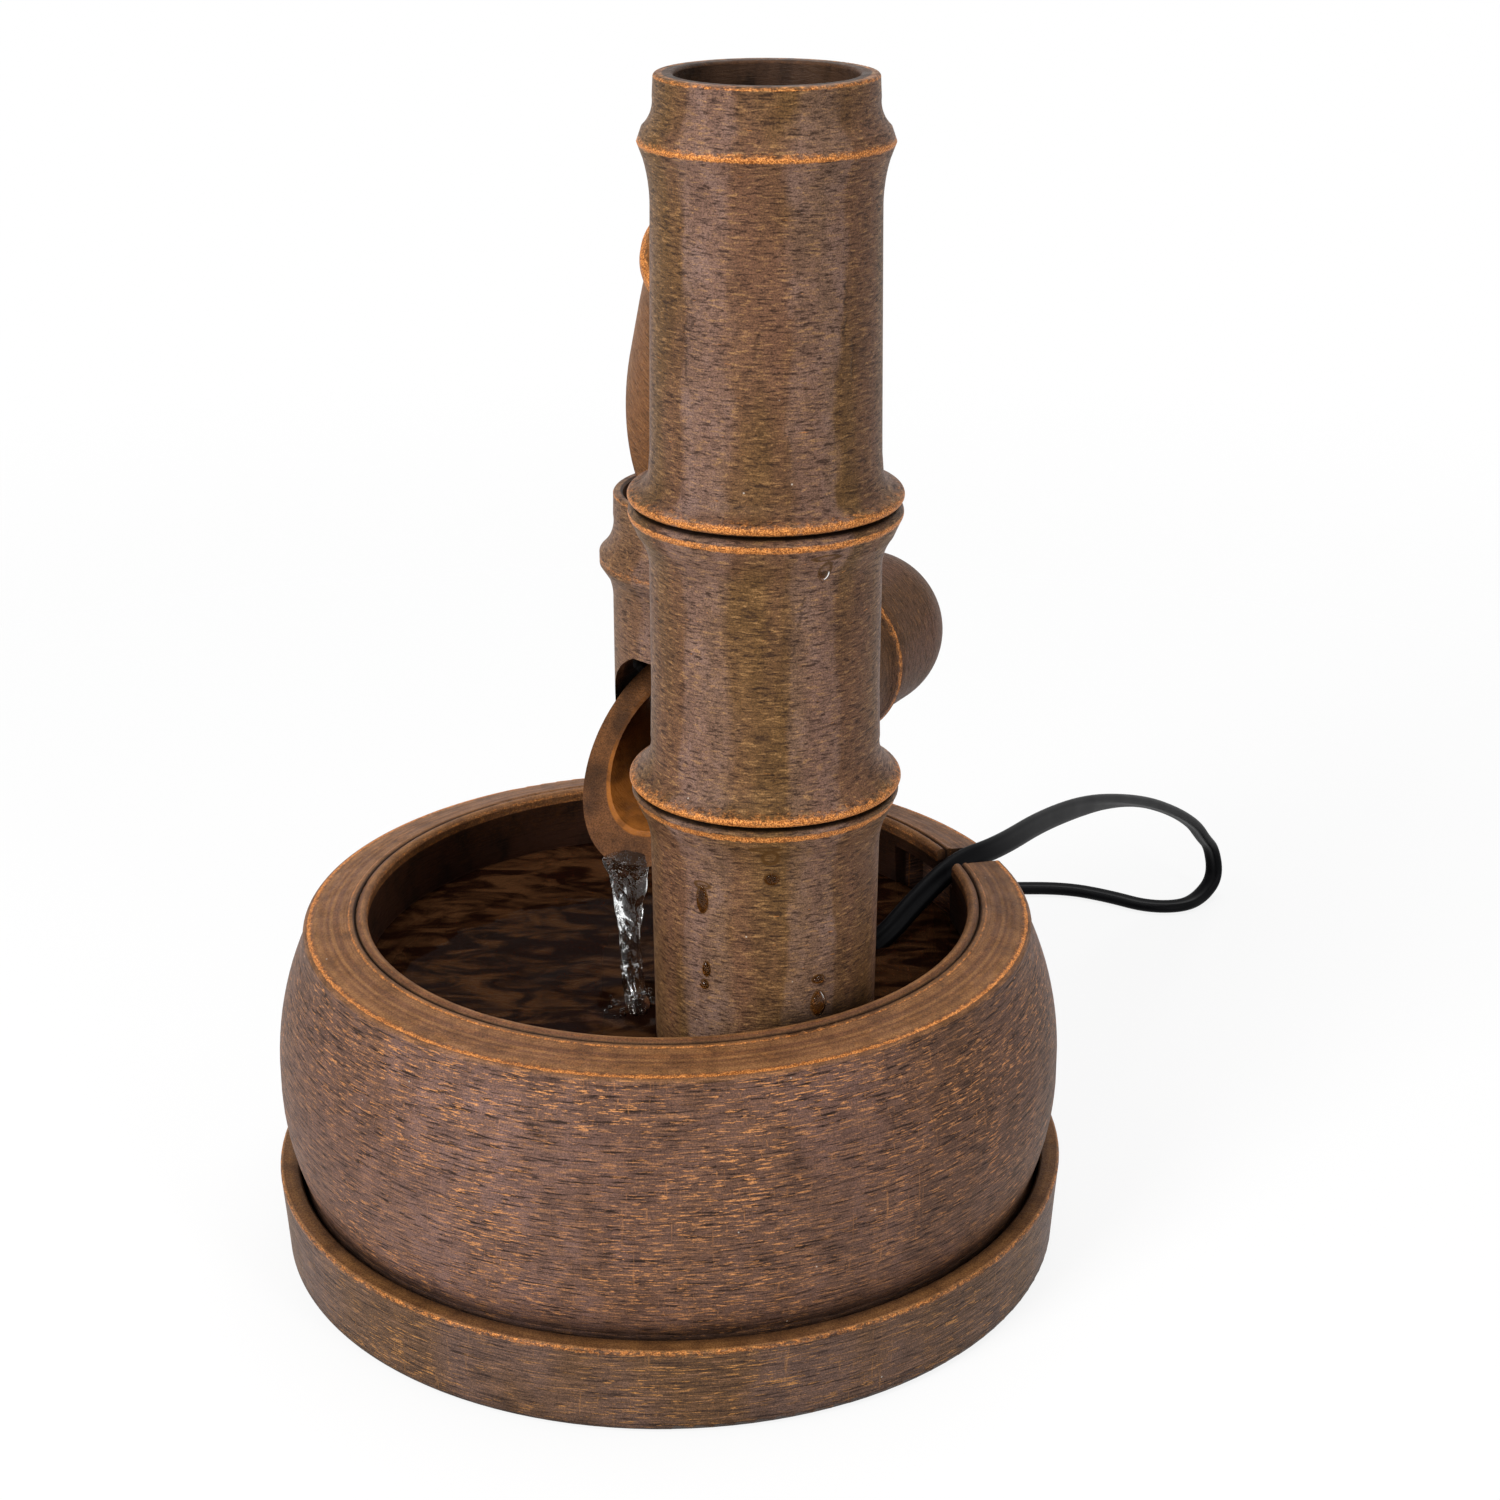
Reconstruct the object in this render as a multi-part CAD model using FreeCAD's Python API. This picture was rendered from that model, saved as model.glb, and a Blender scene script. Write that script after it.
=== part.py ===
import FreeCAD, Part
import math
import os

# Tabletop bamboo fountain with a tipping spout. Millimetres, +Z up.
# The origin is the centre of the base pad's underside, and the viewer stands at -Y.

V = FreeCAD.Vector
UP = V(0, 0, 1)

# Clearances
PRESS = 0.02          # radial, a pin or bush that stays put in its hole
RUNNING = 0.05        # radial, a shaft that turns
SEAT = 0.3            # between a moving piece and the stop that it rests on

# Base pad and tray
PAD_R = 80.0
PAD_T = 1.6
PAD_RECESS = 1.0
TRAY_BASE = 4.0
TRAY_R = 94.2
TRAY_FOOT_R = 93.0
TRAY_WALL = 4.6
TRAY_INNER_R = TRAY_R - TRAY_WALL
TRAY_TOP_Z = 21.8

# Basin
BASIN_FIT = 1.2       # radial, so that it lifts into the tray by hand
BASIN_BELLY_R = 92.6
BASIN_BELLY_Z = 46.0
BASIN_NECK_R = 86.5
BASIN_NECK_Z = 76.0
BASIN_RIM_R = 84.9
BASIN_RIM_Z = 84.0     # the top of the whole basin
BASIN_MOUTH_R = 70.4
BASIN_WALL_FOOT_R = 73.0
BASIN_FLOOR_Z = 14.0
BASIN_FLOOR_ROUND = 4.2
FOOT_RING_W = 10.4
FOOT_RING_H = 4.4

# Heights, each from the one below: the tail falls to the rim, and the spout pours into the stem
PIVOT_ABOVE_RIM = 30.7
EARS_BELOW_PIVOT = 11.1
SEPTUM_ABOVE_PIVOT = 27.3
STEM_ABOVE_SEPTUM = 31.7
RUNG_ABOVE_SEPTUM = 10.0
SPOUT_ABOVE_STEM = 61.9
JOINT_BELOW_RUNG = 21.8
JOINT_BELOW_SPOUT = 42.7
SEPTUM_BELOW_SPOUT = 30.6
HOSE_ABOVE_SEPTUM = 8.0
TOP_ABOVE_SPOUT = 43.9
PIVOT_Z = BASIN_RIM_Z + PIVOT_ABOVE_RIM
STEM_FOOT_Z = PIVOT_Z - EARS_BELOW_PIVOT
STEM_SEPTUM_Z = PIVOT_Z + SEPTUM_ABOVE_PIVOT
STEM_TOP_Z = STEM_SEPTUM_Z + STEM_ABOVE_SEPTUM
RUNG_Z = STEM_SEPTUM_Z + RUNG_ABOVE_SEPTUM
SPOUT_Z = STEM_TOP_Z + SPOUT_ABOVE_STEM
JOINT_A_Z = RUNG_Z - JOINT_BELOW_RUNG       # lower length to middle length
JOINT_B_Z = SPOUT_Z - JOINT_BELOW_SPOUT     # middle length to upper length
SEPTUM_Z = SPOUT_Z - SEPTUM_BELOW_SPOUT
HOSE_TOP_Z = SEPTUM_Z + HOSE_ABOVE_SEPTUM
COLUMN_TOP_Z = SPOUT_Z + TOP_ABOVE_SPOUT

# Niche for the lead under the rim, and the slot that lets it out over the rim
NICHE_AZ = 27.0
NICHE_W = 26.5
NICHE_R = 77.6
NICHE_Z0 = 25.0
NICHE_Z1 = 78.8
NOTCH_AZ = 37.0
NOTCH_W = 9.0
NOTCH_XY = (71.0, 25.9)

# Column of three bamboo lengths
COLUMN_GAP = 1.9      # from the column to the basin's mouth
COLUMN_AZ = -58.7
COLUMN_FOOT_R = 24.3
COLUMN_R = 24.8
COLUMN_BORE_R = 20.9
SPIGOT_R = 20.6
SPIGOT_BORE_R = 17.5
SPIGOT_H = 8.2
SEAT_R = 25.5
GROOVE_H = 1.0
TOP_R = 22.5
TOP_BORE_R = 18.5
SEPTUM_T = 4.0
SEPTUM_HOLE_R = 7.5    # the hose passes freely, so that the top lifts off
BOSS_H = 3.6

# Spout, a bamboo length cut long and slanting
SPOUT_OUT = 30.54     # from the column's axis to the middle of the spout's ring
SPOUT_OUT_AZ = 105.1
SPOUT_AZ = 104.0
SPOUT_DIP = 51.6
SPOUT_R = 17.2
SPOUT_BORE_R = 14.6
SPOUT_RING_R = 18.9
SPOUT_CUT = 44.0      # along the axis, ring to the middle of the cut
SPOUT_CUT_HALF = 32.0
NECK_R = 8.0
NECK_BORE_R = 5.0
COPE_GAP = 0.05

# Rear stem that takes the water, and the rung that carries it
STEM_X = 11.4
STEM_Y = 36.4
STEM_R = 24.9
STEM_RIM_R = 24.5
STEM_RING_R = 28.0
STEM_BORE_R = 20.5
STEM_MOUTH_R = 22.2
STEM_SEPTUM_T = 4.0
DRIP_R = 6.0
DRIP_BACK = 8.0       # the drip falls this far to the mouth's side of the pivot
RUNG_R = 8.0
RUNG_SOCKET = 22.6    # both sockets end this far from their tube's axis

# Tipper: a bamboo length on a pivot, with a slanting mouth and a heavy tail
TIPPER_AZ = 60.0
TIPPER_RISE = 1.0
TIPPER_R = 21.2
TIPPER_BORE_R = 14.6
TIPPER_MOUTH = 21.6
TIPPER_MOUTH_HALF = 22.0
TIPPER_CHAMBER = 14.0
TIPPER_RING_AT = 54.0
TIPPER_RING_R = 22.7
TIPPER_TAIL = 76.0
SLOT_GAP = 0.6
PIN_R = 2.0
PIN_LENGTH = 49.2
BUSH_R = 3.2

# Pump
PUMP_X0 = -16.0
PUMP_X1 = 26.5
PUMP_Y0 = -3.0
PUMP_Y1 = 37.0
PUMP_Z0 = 17.0
PUMP_Z1 = 57.0
PUMP_ROUND = 4.0
TURRET_X1 = 6.0
TURRET_Y1 = 12.0
TURRET_Z1 = 66.4
ROTOR_Y = 17.0
ROTOR_Z = 38.2
VOLUTE_R = 12.6
VOLUTE_X0 = 17.5
WELL_R = 7.9
WELL_X0 = -9.0
ROTOR_R = 7.3
BLADE_R = 11.4
BLADE_T = 1.6
BLADES = 6
SHAFT_R = 1.5
OUTLET_Z = 30.0
OUTLET_R = 3.45
OUTLET_BORE_R = 2.6
OUTLET_L = 7.0
COVER_T = 3.4
COVER_W = 36.0
COVER_H = 35.0
SLOT_W = 2.2
SLOT_PITCH = 4.6
DIAL_R = 7.2
DIAL_T = 3.6
CUP_R = 7.0
CUP_STUD_R = 2.5
CUP_INSET = 8.0

# Hose inside the column
HOSE_R = 5.0
HOSE_BORE_R = 3.5
HOSE_BEND = 25.0
HOSE_HOLE_R = 6.0

# Flat lead, its put-away coil and its plug
LEAD_W = 5.6
LEAD_R = LEAD_W / 2
FLOOR_LEAD_Z = 3.0
GLAND_Z = 61.6
GLAND_Y = 3.0
BOOT_L = 16.0
COIL_X = 12.0
COIL_Y = 143.0
COIL_R = 38.5
COIL_PITCH = 6.1
COIL_HALF_TURNS = 6
COIL_TAIL = 30.0
PLUG_L = 34.0
PLUG_W = 20.0
BLADE_L = 16.5
BLADE_H = 6.3
PRONG_T = 1.5
PRONG_GAP = 12.7


def polar(radius, degrees, z=0.0):
    a = math.radians(degrees)
    return V(radius * math.cos(a), radius * math.sin(a), z)


# The column stands against the basin's mouth
COLUMN_AT = polar(BASIN_MOUTH_R - COLUMN_GAP - 25.1, COLUMN_AZ)
CX = COLUMN_AT.x
CY = COLUMN_AT.y
STEM_AT = V(STEM_X, STEM_Y, 0)
PIVOT = V(STEM_X, STEM_Y, PIVOT_Z)
TAIL = polar(1.0, TIPPER_AZ)
SIDE = polar(1.0, TIPPER_AZ - 90.0)


def outline(start, *steps):
    """Closed face in the XZ plane: a step of 2 numbers is a line, of 4 an arc through its first pair."""
    edges = []
    here = V(start[0], 0, start[1])
    first = here
    for step in steps:
        there = V(step[-2], 0, step[-1])
        if len(step) == 2:
            edges.append(Part.LineSegment(here, there).toShape())
        else:
            edges.append(Part.Arc(here, V(step[0], 0, step[1]), there).toShape())
        here = there
    if here.distanceToPoint(first) > 1e-6:
        edges.append(Part.LineSegment(here, first).toShape())
    return Part.Face(Part.Wire(edges))


def turned(face, at=None):
    """Turn a face round the vertical axis, then stand it at a place."""
    solid = face.revolve(V(0, 0, 0), UP, 360)
    if at is not None:
        solid.translate(V(at.x, at.y, 0))
    return solid


def rod(radius, start, end):
    """Solid cylinder between two points."""
    return Part.makeCylinder(radius, start.distanceToPoint(end), start, end.sub(start))


def pipe(radius, bore, start, end):
    return rod(radius, start, end).cut(rod(bore, start, end))


def block(x0, x1, y0, y1, z0, z1):
    return Part.makeBox(x1 - x0, y1 - y0, z1 - z0, V(x0, y0, z0))


def rounded_block(x0, x1, y0, y1, z0, z1, radius, axis):
    """Block with its four edges along one axis rounded."""
    solid = block(x0, x1, y0, y1, z0, z1)
    edges = []
    for edge in solid.Edges:
        run = edge.Vertexes[1].Point.sub(edge.Vertexes[0].Point).normalize()
        if abs(run.dot(axis)) > 0.99:
            edges.append(edge)
    return solid.makeFillet(radius, edges)


def along(direction, at):
    """Placement that takes local +Z to a direction, with local +X level."""
    level = UP.cross(direction)
    if level.Length < 1e-9:
        level = V(1, 0, 0)
    level.normalize()
    third = direction.cross(level)
    m = FreeCAD.Matrix(
        level.x, third.x, direction.x, at.x,
        level.y, third.y, direction.y, at.y,
        level.z, third.z, direction.z, at.z,
        0, 0, 0, 1)
    return FreeCAD.Placement(m)


# Tray and basin

def make_base_pad():
    return rod(PAD_R, V(0, 0, 0), V(0, 0, PAD_T))


def make_tray():
    z0 = PAD_T - PAD_RECESS
    floor = z0 + TRAY_BASE
    face = outline(
        (0, z0), (TRAY_FOOT_R - 1.8, z0),
        (TRAY_FOOT_R - 0.5, z0 + 0.4, TRAY_FOOT_R, z0 + 1.6),
        (TRAY_R, TRAY_TOP_Z - 1.3),
        (TRAY_R - 0.2, TRAY_TOP_Z - 0.3, TRAY_R - 1.0, TRAY_TOP_Z),
        (TRAY_INNER_R + 0.6, TRAY_TOP_Z),
        (TRAY_INNER_R + 0.2, TRAY_TOP_Z - 0.2, TRAY_INNER_R, TRAY_TOP_Z - 0.6),
        (TRAY_INNER_R, floor), (0, floor))
    return turned(face).cut(rod(PAD_R + 0.1, V(0, 0, 0), V(0, 0, PAD_T)))


def make_basin():
    z0 = PAD_T - PAD_RECESS + TRAY_BASE
    foot = TRAY_INNER_R - BASIN_FIT
    rim = BASIN_RIM_R
    top = BASIN_RIM_Z
    mouth = BASIN_MOUTH_R
    low = BASIN_WALL_FOOT_R
    corner = BASIN_FLOOR_ROUND
    face = outline(
        (0, z0 + FOOT_RING_H), (foot - FOOT_RING_W, z0 + FOOT_RING_H),
        (foot - FOOT_RING_W, z0), (foot - 1.5, z0),
        (foot - 0.44, z0 + 0.44, foot, z0 + 1.5),
        (foot, TRAY_TOP_Z + 0.2),
        (foot + 3.2, 33.0, BASIN_BELLY_R, BASIN_BELLY_Z),
        (BASIN_BELLY_R - 1.4, 61.5, BASIN_NECK_R, BASIN_NECK_Z),
        (rim + 0.5, top - 4.0),
        (rim + 0.3, top - 2.6, rim - 0.9, top - 2.0),
        (mouth + 4.6, top - 0.2),
        (mouth + 3.6, top + 0.1, mouth + 2.8, top - 0.6),
        (mouth + 1.6, top + 0.6, mouth, top - 0.5),
        (low, BASIN_FLOOR_Z + corner),
        (low - 1.3, BASIN_FLOOR_Z + 1.2, low - corner, BASIN_FLOOR_Z),
        (0, BASIN_FLOOR_Z))
    basin = turned(face)
    niche = block(BASIN_MOUTH_R - 14, NICHE_R, -NICHE_W / 2, NICHE_W / 2, NICHE_Z0, NICHE_Z1)
    niche.rotate(V(0, 0, 0), UP, NICHE_AZ)
    notch = block(-14, 30, -NOTCH_W / 2, NOTCH_W / 2, NICHE_Z1 - 0.2, top + 4)
    notch.rotate(V(0, 0, 0), UP, NOTCH_AZ)
    notch.translate(V(NOTCH_XY[0], NOTCH_XY[1], 0))
    boss = rod(COLUMN_BORE_R - 0.7, V(CX, CY, BASIN_FLOOR_Z - 1), V(CX, CY, BASIN_FLOOR_Z + BOSS_H))
    return basin.cut(niche).cut(notch).fuse(boss).removeSplitter()


# Column

def make_column_lower():
    seat = JOINT_A_Z
    face = outline(
        (COLUMN_BORE_R, BASIN_FLOOR_Z), (COLUMN_FOOT_R, BASIN_FLOOR_Z),
        (COLUMN_FOOT_R + 0.1, 69.0), (COLUMN_R + 0.1, 114.0),
        (COLUMN_R + 0.4, 118.6, COLUMN_R + 1.4, 122.4),
        (COLUMN_R + 2.9, 125.4, COLUMN_R + 3.8, 127.8),
        (COLUMN_R + 4.0, 128.7, COLUMN_R + 3.2, seat - GROOVE_H),
        (SEAT_R, seat - GROOVE_H), (SEAT_R, seat), (SPIGOT_R, seat),
        (SPIGOT_R, seat + SPIGOT_H), (SPIGOT_BORE_R, seat + SPIGOT_H),
        (SPIGOT_BORE_R, seat - 3), (COLUMN_BORE_R, seat - 8))
    lower = turned(face, COLUMN_AT)
    hole = rod(HOSE_HOLE_R, V(CX, CY + 12, OUTLET_Z), V(CX, CY + 30, OUTLET_Z))
    return lower.cut(hole)


def rung_line():
    line = STEM_AT.sub(COLUMN_AT)
    line.normalize()
    return line


def rung_rod(radius):
    """The rung between its two sockets, or the tool that cuts them."""
    line = rung_line()
    span = STEM_AT.distanceToPoint(COLUMN_AT)
    start = COLUMN_AT.add(line.multiply(RUNG_SOCKET))
    line = rung_line()
    end = COLUMN_AT.add(line.multiply(span - RUNG_SOCKET))
    return rod(radius, V(start.x, start.y, RUNG_Z), V(end.x, end.y, RUNG_Z))


def make_column_middle():
    foot = JOINT_A_Z
    seat = JOINT_B_Z
    face = outline(
        (COLUMN_BORE_R, foot), (COLUMN_R + 3.7, foot),
        (COLUMN_R + 4.5, foot + 0.7, COLUMN_R + 4.1, foot + 1.9),
        (COLUMN_R + 1.1, foot + 4.6, COLUMN_R - 0.1, foot + 10.2),
        (COLUMN_R - 0.4, foot + 22), (COLUMN_R - 0.3, seat - 15.5),
        (COLUMN_R + 0.3, seat - 10.6, COLUMN_R + 2.2, seat - 7.0),
        (COLUMN_R + 3.7, seat - 3.6),
        (COLUMN_R + 3.9, seat - 1.9, COLUMN_R + 3.0, seat - GROOVE_H),
        (SEAT_R, seat - GROOVE_H), (SEAT_R, seat), (SPIGOT_R, seat),
        (SPIGOT_R, seat + SPIGOT_H), (SPIGOT_BORE_R, seat + SPIGOT_H),
        (SPIGOT_BORE_R, seat - 3), (COLUMN_BORE_R, seat - 8))
    return turned(face, COLUMN_AT).cut(rung_rod(RUNG_R + PRESS))


def spout_frame():
    level = polar(math.cos(math.radians(SPOUT_DIP)), SPOUT_AZ)
    fall = -math.sin(math.radians(SPOUT_DIP))
    at = COLUMN_AT.add(polar(SPOUT_OUT, SPOUT_OUT_AZ, SPOUT_Z))
    return along(V(level.x, level.y, fall), at)


def spout_point(s):
    return spout_frame().multVec(V(0, 0, s))


def make_column_upper():
    foot = JOINT_B_Z
    top = COLUMN_TOP_Z
    body = COLUMN_R - 0.7
    face = outline(
        (COLUMN_BORE_R, foot), (COLUMN_R + 3.4, foot),
        (COLUMN_R + 4.1, foot + 0.9, COLUMN_R + 3.6, foot + 2.2),
        (COLUMN_R + 1.9, foot + 2.8),
        (COLUMN_R + 0.4, foot + 3.9, COLUMN_R - 0.4, foot + 6.4),
        (body, foot + 10.1), (body - 0.7, top - 25.5),
        (body - 0.3, top - 20.4, body + 0.6, top - 16.4),
        (body + 1.8, top - 13.2),
        (body + 0.8, top - 10.4),
        (body - 0.8, top - 8.2, body - 1.4, top - 4.5),
        (TOP_R, top - 0.8), (TOP_R - 0.2, top - 0.2, TOP_R - 0.8, top),
        (TOP_BORE_R + 0.8, top), (TOP_BORE_R + 0.2, top - 0.2, TOP_BORE_R, top - 0.8),
        (TOP_BORE_R, top - 8), (TOP_BORE_R + 1.2, top - 18),
        (TOP_BORE_R + 1.2, SEPTUM_Z + SEPTUM_T), (SEPTUM_HOLE_R, SEPTUM_Z + SEPTUM_T),
        (SEPTUM_HOLE_R, SEPTUM_Z), (COLUMN_BORE_R, SEPTUM_Z))
    upper = turned(face, COLUMN_AT)
    return upper.cut(rod(NECK_R + PRESS, spout_point(-25), spout_point(-2)))


def make_spout():
    half = SPOUT_CUT_HALF / SPOUT_R
    ring = SPOUT_RING_R
    shell = turned(outline(
        (0, -9.4), (9.4, -8.2, 16.4, -3.4), (SPOUT_R + 0.5, -2.6),
        (ring, -0.9), (ring, 0.9), (SPOUT_R + 0.4, 2.7), (SPOUT_R - 0.2, 5.0),
        (SPOUT_R, 16.0), (SPOUT_R, 2 * SPOUT_CUT), (SPOUT_BORE_R, 2 * SPOUT_CUT), (SPOUT_BORE_R, 4.4),
        (SPOUT_BORE_R - 0.6, 3.0, SPOUT_BORE_R - 2.0, 2.4), (0, 2.4)))
    # Local +Y points up and away from the column, and the long cut opens that side
    reach = 2.2 * SPOUT_R
    wide = 3.5 * SPOUT_R
    far = 5 * SPOUT_CUT
    wedge = Part.makePolygon([
        V(0, reach, SPOUT_CUT - half * reach), V(0, -reach, SPOUT_CUT + half * reach),
        V(0, -reach, far), V(0, reach, far), V(0, reach, SPOUT_CUT - half * reach)])
    wedge = Part.Face(wedge).extrude(V(2 * wide, 0, 0))
    wedge.translate(V(-wide, 0, 0))
    shell = shell.cut(wedge)
    shell.Placement = spout_frame()
    # Coped to the column's taper
    body = COLUMN_R - 0.7 + COPE_GAP
    taper = turned(outline(
        (0, JOINT_B_Z + 10.1), (body, JOINT_B_Z + 10.1),
        (body - 0.7, COLUMN_TOP_Z - 25.5), (0, COLUMN_TOP_Z - 25.5)), COLUMN_AT)
    shell = shell.cut(taper)
    neck = rod(NECK_R, spout_point(-25), spout_point(-2))
    inner = rod(TOP_BORE_R + 1.2, V(CX, CY, SEPTUM_Z - 5), V(CX, CY, COLUMN_TOP_Z))
    bore = rod(NECK_BORE_R, spout_point(-30), spout_point(6))
    return shell.fuse(neck.cut(inner)).cut(bore).removeSplitter()


# Rear stem, rung and tipper

def make_rear_stem():
    top = STEM_TOP_Z
    ring = STEM_RING_R
    face = outline(
        (STEM_R, STEM_FOOT_Z), (STEM_R, top - 27),
        (STEM_R + 0.2, top - 23.5, STEM_R + 1.0, top - 20.6),
        (ring, top - 17.4), (ring, top - 14.8),
        (ring - 2.9, top - 10.6, STEM_RIM_R + 0.1, top - 5.6),
        (STEM_RIM_R, top - 0.9), (STEM_RIM_R - 0.2, top - 0.2, STEM_RIM_R - 0.9, top),
        (STEM_MOUTH_R + 0.5, top), (STEM_MOUTH_R, top - 0.5),
        (STEM_MOUTH_R, top - 14), (STEM_BORE_R, top - 17),
        (STEM_BORE_R, STEM_SEPTUM_Z + STEM_SEPTUM_T), (0, STEM_SEPTUM_Z + STEM_SEPTUM_T),
        (0, STEM_SEPTUM_Z), (STEM_BORE_R, STEM_SEPTUM_Z), (STEM_BORE_R, STEM_FOOT_Z))
    stem = turned(face, STEM_AT)
    wide = TIPPER_R + SLOT_GAP
    tilt = math.radians(TIPPER_RISE)
    roof = PIVOT_Z + TIPPER_R / math.cos(tilt) + STEM_R * math.tan(tilt) + SEAT
    far = 1.6 * STEM_R
    slot = block(-far, far, -wide, wide, STEM_FOOT_Z - 1, roof)
    slot.rotate(V(0, 0, 0), UP, TIPPER_AZ)
    slot.translate(STEM_AT)
    # The ears' lower ends are rounded about the pivot
    ear = PIVOT_Z - STEM_FOOT_Z
    trim = block(-far, far, -far, far, STEM_FOOT_Z - 1, PIVOT_Z)
    keep = rod(ear + 1.4, V(0, -far, PIVOT_Z), V(0, far, PIVOT_Z))
    trim = trim.cut(keep)
    trim.rotate(V(0, 0, 0), UP, TIPPER_AZ)
    trim.translate(STEM_AT)
    drip_at = STEM_AT.sub(V(TAIL.x * DRIP_BACK, TAIL.y * DRIP_BACK, 0))
    drip = rod(DRIP_R, V(drip_at.x, drip_at.y, STEM_SEPTUM_Z - 1),
               V(drip_at.x, drip_at.y, STEM_SEPTUM_Z + STEM_SEPTUM_T + 1))
    pin = pivot_rod(PIN_R + PRESS, -PIN_LENGTH, PIN_LENGTH)
    return stem.cut(slot).cut(trim).cut(drip).cut(pin).cut(rung_rod(RUNG_R + PRESS))


def pivot_rod(radius, start, end):
    """Rod on the pivot's axis, measured from the middle of the tipper."""
    a = PIVOT.add(V(SIDE.x * start, SIDE.y * start, 0))
    b = PIVOT.add(V(SIDE.x * end, SIDE.y * end, 0))
    return rod(radius, a, b)


def make_tipper():
    r = TIPPER_R
    ring = TIPPER_RING_R
    at = TIPPER_RING_AT
    tail = TIPPER_TAIL
    slant = math.sqrt(0.5)
    far = 2.8 * r
    # The chamber's end is rounded, and the tail past it is solid for weight
    face = outline(
        (TIPPER_BORE_R, -far), (r, -far), (r, at - 6.0),
        (r + 0.3, at - 3.4, ring - 0.3, at - 1.2), (ring, at + 0.6),
        (r + 0.1, at + 2.4), (r - 0.5, at + 3.6), (r - 0.2, at + 6.0), (r, tail),
        (r * slant, tail + r * slant, 0, tail + r),
        (0, TIPPER_CHAMBER), (TIPPER_BORE_R - 5, TIPPER_CHAMBER),
        (TIPPER_BORE_R - 1.5, TIPPER_CHAMBER - 1.5, TIPPER_BORE_R, TIPPER_CHAMBER - 5))
    body = turned(face)
    # Local +Z runs to the tail and local +Y up once the piece is laid down
    half = TIPPER_MOUTH_HALF / TIPPER_R
    reach = 1.9 * r
    mouth = Part.makePolygon([
        V(0, reach, -TIPPER_MOUTH + half * reach), V(0, -reach, -TIPPER_MOUTH - half * reach),
        V(0, -reach, -2 * far), V(0, reach, -2 * far), V(0, reach, -TIPPER_MOUTH + half * reach)])
    mouth = Part.Face(mouth).extrude(V(2 * far, 0, 0))
    mouth.translate(V(-far, 0, 0))
    body = body.cut(mouth)
    rise = math.radians(TIPPER_RISE)
    axis = V(TAIL.x * math.cos(rise), TAIL.y * math.cos(rise), math.sin(rise))
    body.Placement = along(axis, PIVOT)
    return body.cut(pivot_rod(BUSH_R + PRESS, -2 * r, 2 * r))


def make_pivot_bushes():
    inner = TIPPER_BORE_R + 0.2
    outer = TIPPER_R + SLOT_GAP - SEAT
    near = pivot_rod(BUSH_R, inner, outer)
    far = pivot_rod(BUSH_R, -outer, -inner)
    hole = pivot_rod(PIN_R + RUNNING, -2 * outer, 2 * outer)
    return Part.makeCompound([near.cut(hole), far.cut(hole)])


def make_pivot_pin():
    return pivot_rod(PIN_R, -PIN_LENGTH / 2, PIN_LENGTH / 2)


# Pump

def cup_places():
    for x in (PUMP_X0 + CUP_INSET, PUMP_X1 - CUP_INSET):
        for y in (PUMP_Y0 + CUP_INSET, PUMP_Y1 - CUP_INSET):
            yield V(x, y, 0)


def rotor_rod(radius, x0, x1):
    return rod(radius, V(x0, ROTOR_Y, ROTOR_Z), V(x1, ROTOR_Y, ROTOR_Z))


def make_pump_body():
    body = rounded_block(PUMP_X0, PUMP_X1, PUMP_Y0, PUMP_Y1, PUMP_Z0, PUMP_Z1, PUMP_ROUND, V(1, 0, 0))
    turret = rounded_block(PUMP_X0, TURRET_X1, PUMP_Y0, TURRET_Y1, PUMP_Z1 - 8, TURRET_Z1, 3.0, V(1, 0, 0))
    spigot = rod(OUTLET_R, V(CX, PUMP_Y0 + 2, OUTLET_Z), V(CX, PUMP_Y0 - OUTLET_L, OUTLET_Z))
    body = body.fuse(turret).fuse(spigot).removeSplitter()
    body = body.cut(rotor_rod(VOLUTE_R, VOLUTE_X0, PUMP_X1 + 1))
    body = body.cut(rotor_rod(WELL_R, WELL_X0, PUMP_X1))
    body = body.cut(rotor_rod(SHAFT_R + PRESS, WELL_X0 - 4, PUMP_X1))
    body = body.cut(rod(OUTLET_BORE_R, V(CX, ROTOR_Y, OUTLET_Z), V(CX, PUMP_Y0 - OUTLET_L - 1, OUTLET_Z)))
    for at in cup_places():
        body = body.cut(rod(CUP_STUD_R + PRESS, V(at.x, at.y, PUMP_Z0 - 1), V(at.x, at.y, PUMP_Z0 + 3.2)))
    gland = rod(LEAD_R + 1.2 + PRESS, V(TURRET_X1 - 4, GLAND_Y, GLAND_Z), V(TURRET_X1 + 1, GLAND_Y, GLAND_Z))
    return body.cut(gland)


def make_pump_cups():
    cups = []
    z = BASIN_FLOOR_Z
    for at in cup_places():
        cup = turned(outline(
            (0, z), (CUP_R, z), (CUP_R, z + 0.5), (CUP_R - 2.6, z + 1.5, CUP_STUD_R + 0.6, PUMP_Z0),
            (CUP_STUD_R, PUMP_Z0), (CUP_STUD_R, PUMP_Z0 + 3), (0, PUMP_Z0 + 3)), at)
        cups.append(cup)
    return Part.makeCompound(cups)


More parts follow.
